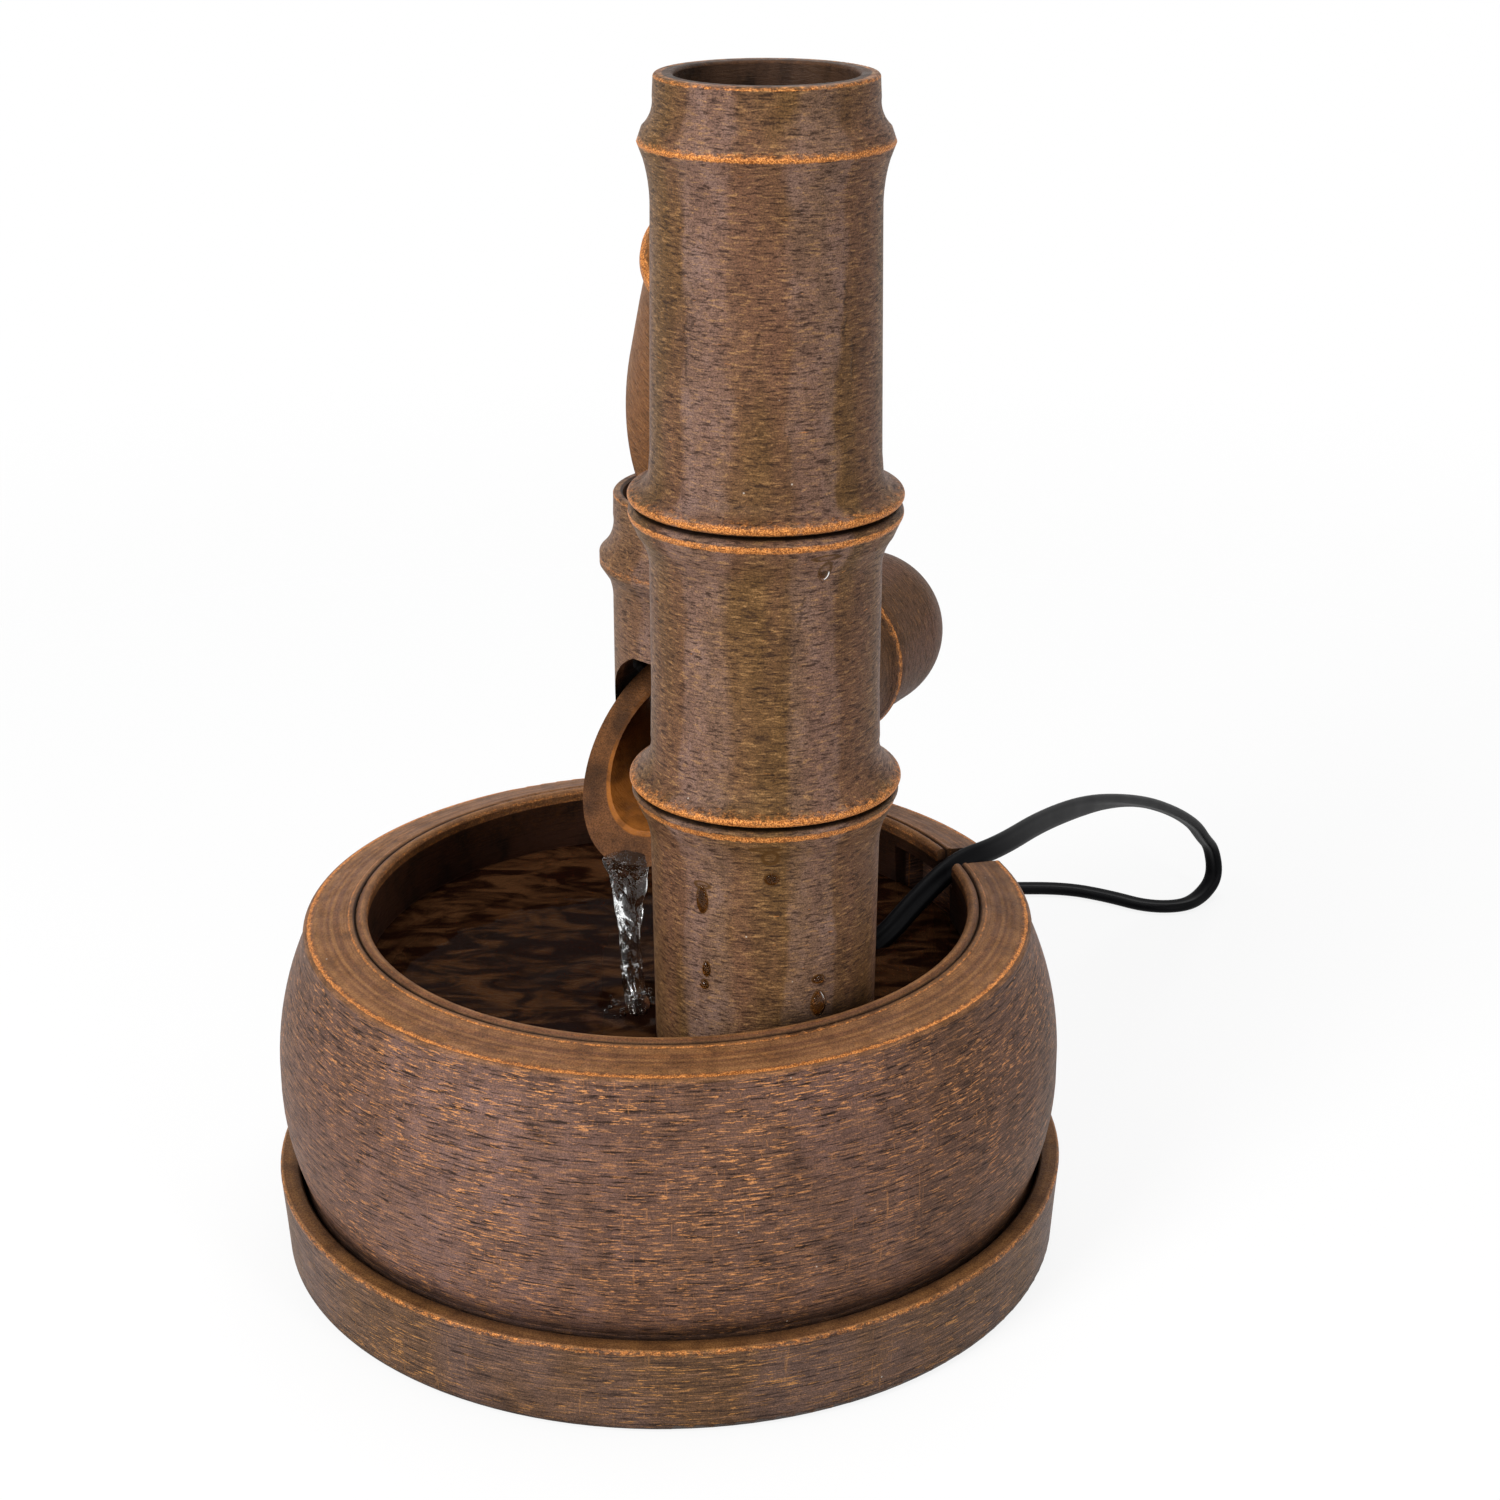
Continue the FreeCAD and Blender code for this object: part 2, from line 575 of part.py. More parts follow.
def make_pump_cover():
    y0 = ROTOR_Y - COVER_W / 2
    z0 = ROTOR_Z - COVER_H / 2 - 1
    x0 = PUMP_X1
    x1 = PUMP_X1 + COVER_T
    plate = rounded_block(x0, x1, y0, y0 + COVER_W, z0, z0 + COVER_H, 3.0, V(1, 0, 0))
    # Intake slots below, and the shaft's outer socket and the dial's hole above
    for k in range(-3, 4):
        y = ROTOR_Y + k * SLOT_PITCH
        plate = plate.cut(block(x0 - 1, x1 + 1, y - SLOT_W / 2, y + SLOT_W / 2, z0 + 3.2, z0 + 11.2))
    plate = plate.cut(rotor_rod(SHAFT_R + PRESS, x0 - 1, x0 + 2.0))
    return plate.cut(rod(2.0 + RUNNING, V(x0 - 1, ROTOR_Y, dial_z()), V(x1 + 1, ROTOR_Y, dial_z())))


def dial_z():
    return ROTOR_Z + COVER_H / 2 - 9.5


def make_pump_dial():
    x1 = PUMP_X1 + COVER_T
    knob = rod(DIAL_R, V(x1 + SEAT, ROTOR_Y, dial_z()), V(x1 + SEAT + DIAL_T, ROTOR_Y, dial_z()))
    grip = block(x1 + SEAT + DIAL_T - 1.8, x1 + SEAT + DIAL_T + 1,
                 ROTOR_Y - DIAL_R, ROTOR_Y + DIAL_R, dial_z() + 1.1, dial_z() + DIAL_R)
    other = block(x1 + SEAT + DIAL_T - 1.8, x1 + SEAT + DIAL_T + 1,
                  ROTOR_Y - DIAL_R, ROTOR_Y + DIAL_R, dial_z() - DIAL_R, dial_z() - 1.1)
    stem = rod(2.0, V(PUMP_X1 + SEAT, ROTOR_Y, dial_z()), V(x1 + SEAT + 1, ROTOR_Y, dial_z()))
    return knob.cut(grip).cut(other).fuse(stem).removeSplitter()


def make_pump_impeller():
    rotor = rotor_rod(ROTOR_R, WELL_X0 + SEAT + 0.5, VOLUTE_X0 + 1.5)
    disc = rotor_rod(BLADE_R, VOLUTE_X0 + 0.4, VOLUTE_X0 + 1.8)
    hub = rotor_rod(3.2, VOLUTE_X0, PUMP_X1 - SEAT)
    wheel = rotor.fuse(disc).fuse(hub)
    for k in range(BLADES):
        blade = block(VOLUTE_X0 + 1.5, PUMP_X1 - 0.8, 2.0, BLADE_R, -BLADE_T / 2, BLADE_T / 2)
        blade.rotate(V(0, 0, 0), V(1, 0, 0), k * 360.0 / BLADES)
        blade.translate(V(0, ROTOR_Y, ROTOR_Z))
        wheel = wheel.fuse(blade)
    rim = rotor_rod(BLADE_R, WELL_X0, PUMP_X1)
    wheel = wheel.common(rim).removeSplitter()
    return wheel.cut(rotor_rod(SHAFT_R + RUNNING, WELL_X0, PUMP_X1))


def make_pump_shaft():
    return rotor_rod(SHAFT_R, WELL_X0 - 4, PUMP_X1 + 2.0)


def make_hose():
    path = Part.Wire([
        Part.LineSegment(V(CX, PUMP_Y0 - 1.0, OUTLET_Z), V(CX, CY + HOSE_BEND, OUTLET_Z)).toShape(),
        Part.Arc(
            V(CX, CY + HOSE_BEND, OUTLET_Z),
            V(CX, CY + HOSE_BEND * (1 - math.sqrt(0.5)), OUTLET_Z + HOSE_BEND * (1 - math.sqrt(0.5))),
            V(CX, CY, OUTLET_Z + HOSE_BEND)).toShape(),
        Part.LineSegment(V(CX, CY, OUTLET_Z + HOSE_BEND), V(CX, CY, HOSE_TOP_Z)).toShape()])
    return swept(path, HOSE_R).cut(swept(path, HOSE_BORE_R))


# Lead

def swept(path, radius):
    """Round tube of a path."""
    edge = path.OrderedEdges[0]
    start = edge.valueAt(edge.FirstParameter)
    heading = edge.tangentAt(edge.FirstParameter)
    ring = Part.Wire([Part.makeCircle(radius, start, heading)])
    return Part.Solid(path.makePipeShell([ring], True, False))


def lead_route():
    """Points of the free lead, from the pump's boot over the rim to the coil."""
    x0 = TURRET_X1 + BOOT_L
    return [
        V(x0, GLAND_Y, GLAND_Z),
        V(37.0, GLAND_Y, GLAND_Z),
        V(51.0, 5.6, 70.6),
        V(59.4, 14.2, 77.0),
        V(70.0, 24.8, 82.7),
        V(81.6, 35.2, 84.6),
        V(96.6, 64.0, 78.6),
        V(113.8, 101.0, 67.0),
        V(131.2, 134.5, 54.0),
        V(145.4, 158.5, 41.2),
        V(155.4, 173.6, 29.6),
        V(161.4, 181.4, 20.6),
        V(166.2, 188.0, 12.6),
        V(163.6, 187.4, 4.5),
        V(156.0, 180.4, FLOOR_LEAD_Z),
        V(148.6, 174.0, FLOOR_LEAD_Z),
        V(138.5, 171.4, FLOOR_LEAD_Z),
        V(127.0, 175.4, FLOOR_LEAD_Z),
        V(114.6, 182.4, FLOOR_LEAD_Z),
        V(98.0, 185.2, FLOOR_LEAD_Z),
        V(72.0, 182.6, FLOOR_LEAD_Z),
        V(46.0, COIL_Y + COIL_R, FLOOR_LEAD_Z),
        V(COIL_X + LEAD_W, COIL_Y + COIL_R, FLOOR_LEAD_Z)]


def bent_path(points):
    """Straight runs joined by tangent arcs, each as large as its two runs allow."""
    edges = []
    here = points[0]
    length = 0.0
    for k in range(1, len(points) - 1):
        corner = points[k]
        a = points[k - 1].sub(corner)
        b = points[k + 1].sub(corner)
        run = 0.45 * min(a.Length, b.Length)
        a.normalize()
        b.normalize()
        turn = math.pi - a.getAngle(b)
        radius = run / math.tan(turn / 2)
        start = corner.add(V(a).multiply(run))
        end = corner.add(V(b).multiply(run))
        inward = a.add(b).normalize()
        sag = radius * (1 / math.cos(turn / 2) - 1)
        middle = corner.add(V(inward).multiply(sag))
        edges.append(Part.LineSegment(here, start).toShape())
        edges.append(Part.Arc(start, middle, end).toShape())
        length += here.distanceToPoint(start) + radius * turn
        here = end
        print("lead point %2d turns %5.1f deg, radius %6.1f mm" % (k, math.degrees(turn), radius))
    edges.append(Part.LineSegment(here, points[-1]).toShape())
    length += here.distanceToPoint(points[-1])
    return Part.Wire(edges), length


def make_lead():
    path, length = bent_path(lead_route())
    tube = swept(path, LEAD_R)
    print("free lead %.1f mm long, volume %.1f against %.1f" % (
        length, tube.Volume, length * math.pi * LEAD_R ** 2))
    return tube, length


def half_turn(start, heading, radius, rise):
    """Half turn to the left; a climbing one is two quarter arcs that stay tangent."""
    left = V(-heading.y, heading.x, 0)
    end = start.add(V(left).multiply(2 * radius)).add(V(0, 0, rise))
    if rise == 0:
        middle = start.add(V(left).multiply(radius)).add(V(heading).multiply(radius))
        return [Part.Arc(start, middle, end)], end
    chord = end.sub(start)
    reach = chord.Length / 2
    join = start.add(end).multiply(0.5).add(V(heading).multiply(reach))
    arcs = []
    for point, tangent in ((start, heading), (end, heading)):
        # Quarter arc from a point whose tangent is level to the joint whose tangent is the chord's
        across = join.sub(point)
        along_run = V(tangent).multiply(across.dot(tangent))
        centre = point.add(across.sub(along_run))
        outward = point.sub(centre).add(join.sub(centre)).normalize()
        middle = centre.add(outward.multiply(centre.distanceToPoint(point)))
        arcs.append((point, middle, join))
    first = Part.Arc(arcs[0][0], arcs[0][1], arcs[0][2])
    second = Part.Arc(arcs[1][2], arcs[1][1], arcs[1][0])
    return [first, second], end


def coil_path():
    here = V(COIL_X + LEAD_W, COIL_Y + COIL_R, FLOOR_LEAD_Z)
    start = V(COIL_X, COIL_Y + COIL_R, FLOOR_LEAD_Z)
    curves = [Part.LineSegment(here, start)]
    heading = V(-1, 0, 0)
    radii = [COIL_R - k * COIL_PITCH / 2 for k in range(COIL_HALF_TURNS)]
    radii = radii + [radii[-1] - COIL_PITCH / 2] + radii[::-1]
    length = LEAD_W
    for k, radius in enumerate(radii):
        rise = COIL_PITCH if k == COIL_HALF_TURNS else 0
        arcs, start = half_turn(start, heading, radius, rise)
        curves.extend(arcs)
        length += sum(arc.length() for arc in arcs)
        heading = V(heading).multiply(-1)
    end = start.add(V(heading).multiply(COIL_TAIL))
    curves.append(Part.LineSegment(start, end))
    return curves, end, length + COIL_TAIL


def least_gap(curves, radius):
    """Least clear distance of the tube to itself, measured on points 2 mm apart."""
    points = []
    for curve in curves:
        count = max(2, int(curve.length() / 2.0))
        points.extend(curve.discretize(count + 1)[:-1])
    walked = [0.0]
    for a, b in zip(points, points[1:]):
        walked.append(walked[-1] + a.distanceToPoint(b))
    least = 1e9
    for i, a in enumerate(points):
        for j in range(i + 1, len(points)):
            if walked[j] - walked[i] > 8 * radius:
                least = min(least, a.distanceToPoint(points[j]))
    return least - 2 * radius


def make_lead_coil():
    curves, end, length = coil_path()
    path = Part.Wire([curve.toShape() for curve in curves])
    tube = swept(path, LEAD_R)
    print("coil %.1f mm long, volume %.1f against %.1f, least gap %.2f mm" % (
        length, tube.Volume, length * math.pi * LEAD_R ** 2, least_gap(curves, LEAD_R)))
    return tube, length


def make_lead_boot():
    x0 = TURRET_X1 - 4
    x1 = TURRET_X1 + BOOT_L
    big = LEAD_R + 1.2
    cone = Part.makeCone(big, LEAD_R + 0.3, BOOT_L, V(TURRET_X1, GLAND_Y, GLAND_Z), V(1, 0, 0))
    collar = rod(big, V(x0, GLAND_Y, GLAND_Z), V(TURRET_X1, GLAND_Y, GLAND_Z))
    boot = collar.fuse(cone).removeSplitter()
    for x in (x1 - 3.0, x1 - 5.6):
        groove = pipe(big + 1, LEAD_R + 0.1, V(x - 0.9, GLAND_Y, GLAND_Z), V(x, GLAND_Y, GLAND_Z))
        boot = boot.cut(groove)
    return boot


def plug_at():
    return coil_path()[1]


def make_plug_body():
    at = plug_at()
    high = 2 * at.z - 0.4
    grip = Part.makePolygon([
        V(at.x, at.y - 5, 0.2), V(at.x, at.y + 5, 0.2), V(at.x + 12, at.y + PLUG_W / 2 - 1.5, 0.2),
        V(at.x + 22, at.y + PLUG_W / 2 - 1.5, 0.2), V(at.x + 27, at.y + PLUG_W / 2, 0.2),
        V(at.x + PLUG_L, at.y + PLUG_W / 2, 0.2), V(at.x + PLUG_L, at.y - PLUG_W / 2, 0.2),
        V(at.x + 27, at.y - PLUG_W / 2, 0.2), V(at.x + 22, at.y - PLUG_W / 2 + 1.5, 0.2),
        V(at.x + 12, at.y - PLUG_W / 2 + 1.5, 0.2), V(at.x, at.y - 5, 0.2)])
    body = Part.Face(grip).extrude(V(0, 0, high))
    long_edges = []
    for edge in body.Edges:
        ends = [v.Point for v in edge.Vertexes]
        flat = abs(ends[0].z - ends[1].z) < 1e-6
        front = min(p.x for p in ends) > at.x + PLUG_L - 0.1
        back = max(p.x for p in ends) < at.x + 0.1
        if flat and not front and not back:
            long_edges.append(edge)
    body = body.makeFillet(2.0, long_edges)
    for side in (-1, 1):
        body = body.cut(prong(side, 0.02, at))
    return body


def prong(side, grow, at):
    y = at.y + side * PRONG_GAP / 2
    x0 = at.x + PLUG_L - 8
    return block(x0, at.x + PLUG_L + BLADE_L, y - PRONG_T / 2 - grow, y + PRONG_T / 2 + grow,
                 at.z - BLADE_H / 2 - grow, at.z + BLADE_H / 2 + grow)


def make_plug_blades():
    at = plug_at()
    blades = []
    for side in (-1, 1):
        blade = prong(side, 0, at)
        x = at.x + PLUG_L + BLADE_L - 3.5
        y = at.y + side * PRONG_GAP / 2
        blade = blade.cut(rod(1.6, V(x, y - 3, at.z), V(x, y + 3, at.z)))
        tip = [e for e in blade.Edges
               if min(v.Point.x for v in e.Vertexes) > at.x + PLUG_L + BLADE_L - 0.1
               and abs(e.Vertexes[0].Point.y - e.Vertexes[-1].Point.y) > 0.5]
        blades.append(blade.makeChamfer(0.9, tip))
    return Part.makeCompound(blades)


lead, lead_length = make_lead()
lead_coil, coil_length = make_lead_coil()
print("whole lead %.0f mm" % (lead_length + coil_length))

pieces = {
    "base_pad": make_base_pad(),
    "tray": make_tray(),
    "basin": make_basin(),
    "column_lower": make_column_lower(),
    "column_middle": make_column_middle(),
    "column_upper": make_column_upper(),
    "spout": make_spout(),
    "rear_stem": make_rear_stem(),
    "stem_rung": rung_rod(RUNG_R),
    "tipper": make_tipper(),
    "pivot_bushes": make_pivot_bushes(),
    "pivot_pin": make_pivot_pin(),
    "pump_body": make_pump_body(),
    "pump_cups": make_pump_cups(),
    "pump_cover": make_pump_cover(),
    "pump_dial": make_pump_dial(),
    "pump_impeller": make_pump_impeller(),
    "pump_shaft": make_pump_shaft(),
    "hose": make_hose(),
    "lead_boot": make_lead_boot(),
    "lead": lead,
    "lead_coil": lead_coil,
    "plug_body": make_plug_body(),
    "plug_blades": make_plug_blades(),
}

os.makedirs("parts", exist_ok=True)
for name, shape in pieces.items():
    shape.exportStep("parts/" + name + ".step")
    print("%-15s solids %d valid %s volume %.1f" % (name, len(shape.Solids), shape.isValid(), shape.Volume))
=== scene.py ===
import math
import random

import bmesh
import bpy
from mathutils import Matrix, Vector, noise


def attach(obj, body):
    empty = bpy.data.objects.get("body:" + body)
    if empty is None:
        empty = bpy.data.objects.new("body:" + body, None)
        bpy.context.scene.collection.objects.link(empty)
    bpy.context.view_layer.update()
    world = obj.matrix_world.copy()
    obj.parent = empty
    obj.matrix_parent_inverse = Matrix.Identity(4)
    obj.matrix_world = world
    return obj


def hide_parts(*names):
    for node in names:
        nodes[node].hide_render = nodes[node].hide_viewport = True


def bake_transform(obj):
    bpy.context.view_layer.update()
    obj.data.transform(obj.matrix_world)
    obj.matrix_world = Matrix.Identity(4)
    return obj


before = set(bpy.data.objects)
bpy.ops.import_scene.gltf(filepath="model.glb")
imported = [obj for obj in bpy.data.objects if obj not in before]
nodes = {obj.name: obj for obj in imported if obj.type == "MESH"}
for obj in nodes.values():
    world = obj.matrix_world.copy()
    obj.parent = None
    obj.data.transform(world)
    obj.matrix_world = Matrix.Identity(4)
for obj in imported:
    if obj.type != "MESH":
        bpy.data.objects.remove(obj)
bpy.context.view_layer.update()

# Tabletop bamboo fountain, running. Metres, and millimetres where a name ends in MM, from the middle of the basin's
# foot.
MM = 0.001
COLUMN_MM = (22.55, -37.08)     # axes of the two uprights
STEM_MM = (11.4, 36.4)
PIVOT_MM = (11.4, 36.4, 114.7)
TIPPER_AZ = math.radians(60.0)
TIPPER_RISE = math.radians(1.0)
TIPPER_R_MM = 21.2
TIPPER_MOUTH_MM = 21.6          # pivot to the middle of the slanting mouth
TIPPER_MOUTH_HALF_MM = 22.0     # half the mouth's reach along the tube
SPOUT_MM = (14.6, -7.6, 235.6)  # middle of the spout's node ring
SPOUT_AZ = math.radians(104.0)
SPOUT_DIP = math.radians(51.6)
SPOUT_R_MM = 17.2
SPOUT_CUT_MM = 44.0             # node ring to the middle of the long cut
SPOUT_CUT_HALF_MM = 32.0
WATER_MM = 69.0                 # level in the basin


# Settings that recur: what a math node does, an eased step, and a mix of two colours
PLUS = {"operation": "ADD"}
MINUS = {"operation": "SUBTRACT"}
TIMES = {"operation": "MULTIPLY"}
LARGER = {"operation": "MAXIMUM"}
LENGTH = {"operation": "LENGTH"}
DOT = {"operation": "DOT_PRODUCT"}
EASED = {"interpolation_type": "SMOOTHSTEP"}
COLOURS = {"data_type": "RGBA"}


def colour(code):
    """Linear colour of an sRGB hex value."""
    out = []
    for k in (1, 3, 5):
        v = int(code[k:k + 2], 16) / 255
        out.append(v / 12.92 if v <= 0.04045 else ((v + 0.055) / 1.055) ** 2.4)
    return (*out, 1.0)


def add(tree, kind, sockets=(), **settings):
    """One node with its settings and links. Sockets go by name, or in order over those that the settings leave open.
    Each takes a number, a colour, an output of another node, or a node, which stands for its first open output."""
    made = tree.nodes.new("ShaderNode" + kind)
    for name, value in settings.items():
        setattr(made, name, value)
    if not isinstance(sockets, dict):
        sockets = dict(zip((k for k, one in enumerate(made.inputs) if one.enabled), sockets))
    for name, value in sockets.items():
        if isinstance(value, bpy.types.Node):
            value = next(one for one in value.outputs if one.enabled)
        if isinstance(value, bpy.types.NodeSocket):
            tree.links.new(value, made.inputs[name])
        else:
            made.inputs[name].default_value = value
    return made


def new_material(name):
    """A material and its tree, still without nodes."""
    made = bpy.data.materials.new(name)
    made.use_nodes = True
    made.node_tree.nodes.clear()
    return made, made.node_tree


def local_place(tree, at=(0, 0, 0), axis=(0, 0, 1)):
    """Millimetres from a point, with the piece's own axis as Z."""
    turn = Vector(axis).rotation_difference(Vector((0, 0, 1)))
    return add(tree, "Mapping", {
        "Vector": add(tree, "TexCoord").outputs["Object"],
        "Location": -(turn @ Vector(at)), "Rotation": turn.to_euler(), "Scale": (1000.0,) * 3})


def grain(tree, place, size, detail, roughness=0.5, warp=0.0):
    """Pattern of soft spots that are size millimetres along each axis."""
    scaled = add(tree, "VectorMath", (place, tuple(1.0 / s for s in size)), **TIMES)
    return add(tree, "TexNoise", {
        "Vector": scaled, "Scale": 1.0, "Detail": detail, "Roughness": roughness, "Distortion": warp})


def profile(tree, value, low, high, stops):
    """Height of a smooth line through stops of place and height, over the range low to high."""
    made = add(tree, "ValToRGB", (add(tree, "MapRange", (value, low, high)),))
    line = made.color_ramp
    line.interpolation = "EASE"
    while len(line.elements) > 1:
        line.elements.remove(line.elements[-1])
    for k, (place, height) in enumerate(stops):
        where = (place - low) / (high - low)
        stop = line.elements[0] if k == 0 else line.elements.new(where)
        stop.position = where
        stop.color = (height, height, height, 1.0)
    return made


CRACK_FRONT_MM = (16.8, 19.2)   # a crack shows only this far out, on its own side of a round wall
CRACK_WAVE_MM = 6.0
CRACK_SWAY_MM = 5.0
CRACK_FADE_MM = 3.0


def crack(tree, parts, azimuth, low, high, lean, weight):
    """Dark hairline up a round wall, at an azimuth and between two heights."""
    x, y, height = parts.outputs
    turn = math.radians(azimuth)
    across = add(tree, "Math", (
        add(tree, "Math", (x, -math.sin(turn)), **TIMES), add(tree, "Math", (y, math.cos(turn)), **TIMES)), **PLUS)
    facing = add(tree, "Math", (
        add(tree, "Math", (x, math.cos(turn)), **TIMES), add(tree, "Math", (y, math.sin(turn)), **TIMES)), **PLUS)
    wander = add(tree, "TexNoise", {
        "W": add(tree, "Math", (height, 1 / CRACK_WAVE_MM), **TIMES), "Scale": 1.0, "Detail": 4.0,
        "Roughness": 0.7}, noise_dimensions="1D")
    rise = add(tree, "Math", (height, (low + high) / 2), **MINUS)
    drift = add(tree, "Math", (
        add(tree, "Math", (rise, lean), **TIMES), add(tree, "Math", (wander, CRACK_SWAY_MM), **TIMES)), **PLUS)
    gap = add(tree, "Math", (add(tree, "Math", (across, drift), **PLUS), CRACK_SWAY_MM / 2), **MINUS)
    gap = add(tree, "Math", (gap,), operation="ABSOLUTE")
    made = add(tree, "MapRange", (gap, 0.05, 0.55, weight, 0.0), **EASED)
    for limit in ((height, low, low + CRACK_FADE_MM), (height, high - CRACK_FADE_MM, high, 1.0, 0.0),
                  (facing, *CRACK_FRONT_MM), (wander, 0.42, 0.52, 0.25, 1.0)):
        made = add(tree, "Math", (made, add(tree, "MapRange", limit, **EASED)), **TIMES)
    return made


# Sizes of the cast skin's patterns. The sand of a real casting is 0.1 to 0.2 mm, which is too fine to show here, so
# it is drawn at 0.34 mm.
CLOUD_MM = (7, 7, 12)
COMB_MM = (0.8, 0.8, 22.0)      # upright strokes of the dry brush
GRIT_MM = (0.34, 0.34, 0.30)
RUB_MM = (1.5, 1.5, 0.6)
RING_MM = 1.6                   # brushed rings on a gilt band
PITS_PER_MM = 0.11
CORNER_MM = 6.0                 # how far the painted corner shade reaches out of a corner
SWAY_MM = (8, 8, 26)
SHEEN_SWAY = 26.0               # degrees that the edges of the painted violet-grey sheen wander
WET_ROUGHNESS = (0.16, 0.16, 0.16, 1.0)
RELIEF_MM = 0.35
SHEEN = 0.10
RADII_MM = (60, 100)            # range of the lists that go by radius


def cast_resin(name, at=(0, 0, 0), axis=(0, 0, 1), body=("#664632", "#5f4322"), bands=(16, 16, 90), dark="#291a13",
               pale="#a87e50", wrinkle=(2.6, 2.6, 0.5), ply=0.8, fleck=(3.0, 3.0, 0.5), flecks=(0.66, 0.74),
               fleck_colour="#b5763c", patch=(24, 24, 30), upright=0.0, painted_sheen=(), painted_sheen_colour="#80665c",
               speckle=0.42, worn=(), rims=(), grooves=(), plain=(), inside=None, inside_from=-400.0,
               inside_top=400.0, bore_shade_colour="#150c08", wet=(), span=(0, 300), cracks=(), stains=(), cut=None,
               rough=(0.40, 0.56)):
    """Cast polyresin under an antiqued bronze paint. A violet-grey painted sheen, standing for the softboxes'
    reflection, lies over brown and olive coats in soft upright bands, fine level wrinkles of the mould carry
    dry-brushed gold over dark, the skin is speckled like sand, and the crests of the rings are rubbed to bare orange.
    Painted shade darkens the corners and the bores. Lists of place and weight give where these lie: worn, plain
    (gilt) and wet by height, rims and grooves by radius, and the painted sheen by azimuth."""
    made, tree = new_material(name)
    place = local_place(tree, at, axis)
    parts = add(tree, "SeparateXYZ", (place,))
    height = parts.outputs["Z"]
    radius = add(tree, "VectorMath", (add(tree, "VectorMath", (place, (1, 1, 0)), **TIMES),), **LENGTH)

    def measured(lists):
        """The largest of the profiles that are given."""
        out = None
        for value, reach, stops in lists:
            if stops:
                one = profile(tree, value, *reach, stops)
                out = one if out is None else add(tree, "Math", (out, one), **LARGER)
        return out

    # Coats, with the painted sheen over them
    tone = add(tree, "MapRange", (grain(tree, place, bands, 3.0), 0.38, 0.62), **EASED)
    shade = add(tree, "Mix", (tone, colour(body[0]), colour(body[1])), **COLOURS)
    cloud = grain(tree, place, CLOUD_MM, 4.0, 0.62)
    # Painted sheen: violet-grey upright bands, set by azimuth, stand for the softboxes' reflection on the satin paint
    if painted_sheen:
        turned = add(tree, "Math", (parts.outputs["Y"], parts.outputs["X"]), operation="ARCTAN2")
        turned = add(tree, "Math", (turned, 180 / math.pi), **TIMES)
        sway = add(tree, "Math", (grain(tree, place, SWAY_MM, 3.0, 0.6), SHEEN_SWAY), **TIMES)
        turned = add(tree, "Math", (add(tree, "Math", (turned, sway), **PLUS), SHEEN_SWAY / 2), **MINUS)
        thin = add(tree, "MapRange", (cloud, 0.28, 0.56, 1.0, 0.55), **EASED)
        veil = add(tree, "Math", (profile(tree, turned, -180, 180, painted_sheen), thin), **TIMES)
        shade = add(tree, "Mix", (veil, shade, colour(painted_sheen_colour)), **COLOURS)
    deep = add(tree, "MapRange", (cloud, 0.46, 0.80, 0.0, 0.40), **EASED)
    shade = add(tree, "Mix", (deep, shade, colour(dark)), **COLOURS)

    # Wrinkles, dark in the folds and pale on top. The smooth gilt bands carry fewer marks
    smooth = measured(((height, span, plain),))
    marks = 1.0
    if smooth is not None:
        marks = add(tree, "Math", (1.0, add(tree, "Math", (smooth, 0.75), **TIMES)), **MINUS)
    lines = grain(tree, place, wrinkle, 5.0, 0.62, 0.6)
    for limit, paint in (((lines, 0.49, 0.36, 0.0, ply), dark), ((lines, 0.53, 0.68, 0.0, ply * 0.7), pale)):
        fold = add(tree, "Math", (add(tree, "MapRange", limit, **EASED), marks), **TIMES)
        shade = add(tree, "Mix", (fold, shade, colour(paint)), **COLOURS)

    # Gold flecks from a dry brush, level and upright
    stroke = grain(tree, place, fleck, 4.0, 0.62, 0.3)
    density = add(tree, "MapRange", (grain(tree, place, patch, 3.0, 0.6), 0.36, 0.64, 0.30, 1.0), **EASED)
    density = add(tree, "Math", (density, marks), **TIMES)
    copper = add(tree, "Math", (add(tree, "MapRange", (stroke, *flecks), **EASED), density), **TIMES)
    if upright:
        comb = add(tree, "MapRange", (grain(tree, place, COMB_MM, 3.0, 0.6), 0.60, 0.76, 0.0, upright), **EASED)
        comb = add(tree, "Math", (comb, density), **TIMES)
        copper = add(tree, "Math", (copper, comb), **LARGER)
    gold = add(tree, "Math", (copper, 0.9), **TIMES)
    shade = add(tree, "Mix", (gold, shade, colour(fleck_colour)), **COLOURS)
    metal = add(tree, "Math", (copper, 0.2), **TIMES)

    if smooth is not None:
        rings = add(tree, "TexNoise", {
            "W": add(tree, "Math", (radius, 1.0 / RING_MM), **TIMES), "Scale": 1.0, "Detail": 3.0, "Roughness": 0.6},
            noise_dimensions="1D")
        rings = add(tree, "MapRange", (rings, 0.3, 0.7), **EASED)
        gilt = add(tree, "Mix", (rings, colour("#674023"), colour("#996a3c")), **COLOURS)
        dull = add(tree, "MapRange", (cloud, 0.40, 0.70, 0.0, 0.6), **EASED)
        gilt = add(tree, "Mix", (dull, gilt, colour("#4b2d19")), **COLOURS)
        shade = add(tree, "Mix", (add(tree, "Math", (smooth, 0.85), **TIMES), shade, gilt), **COLOURS)

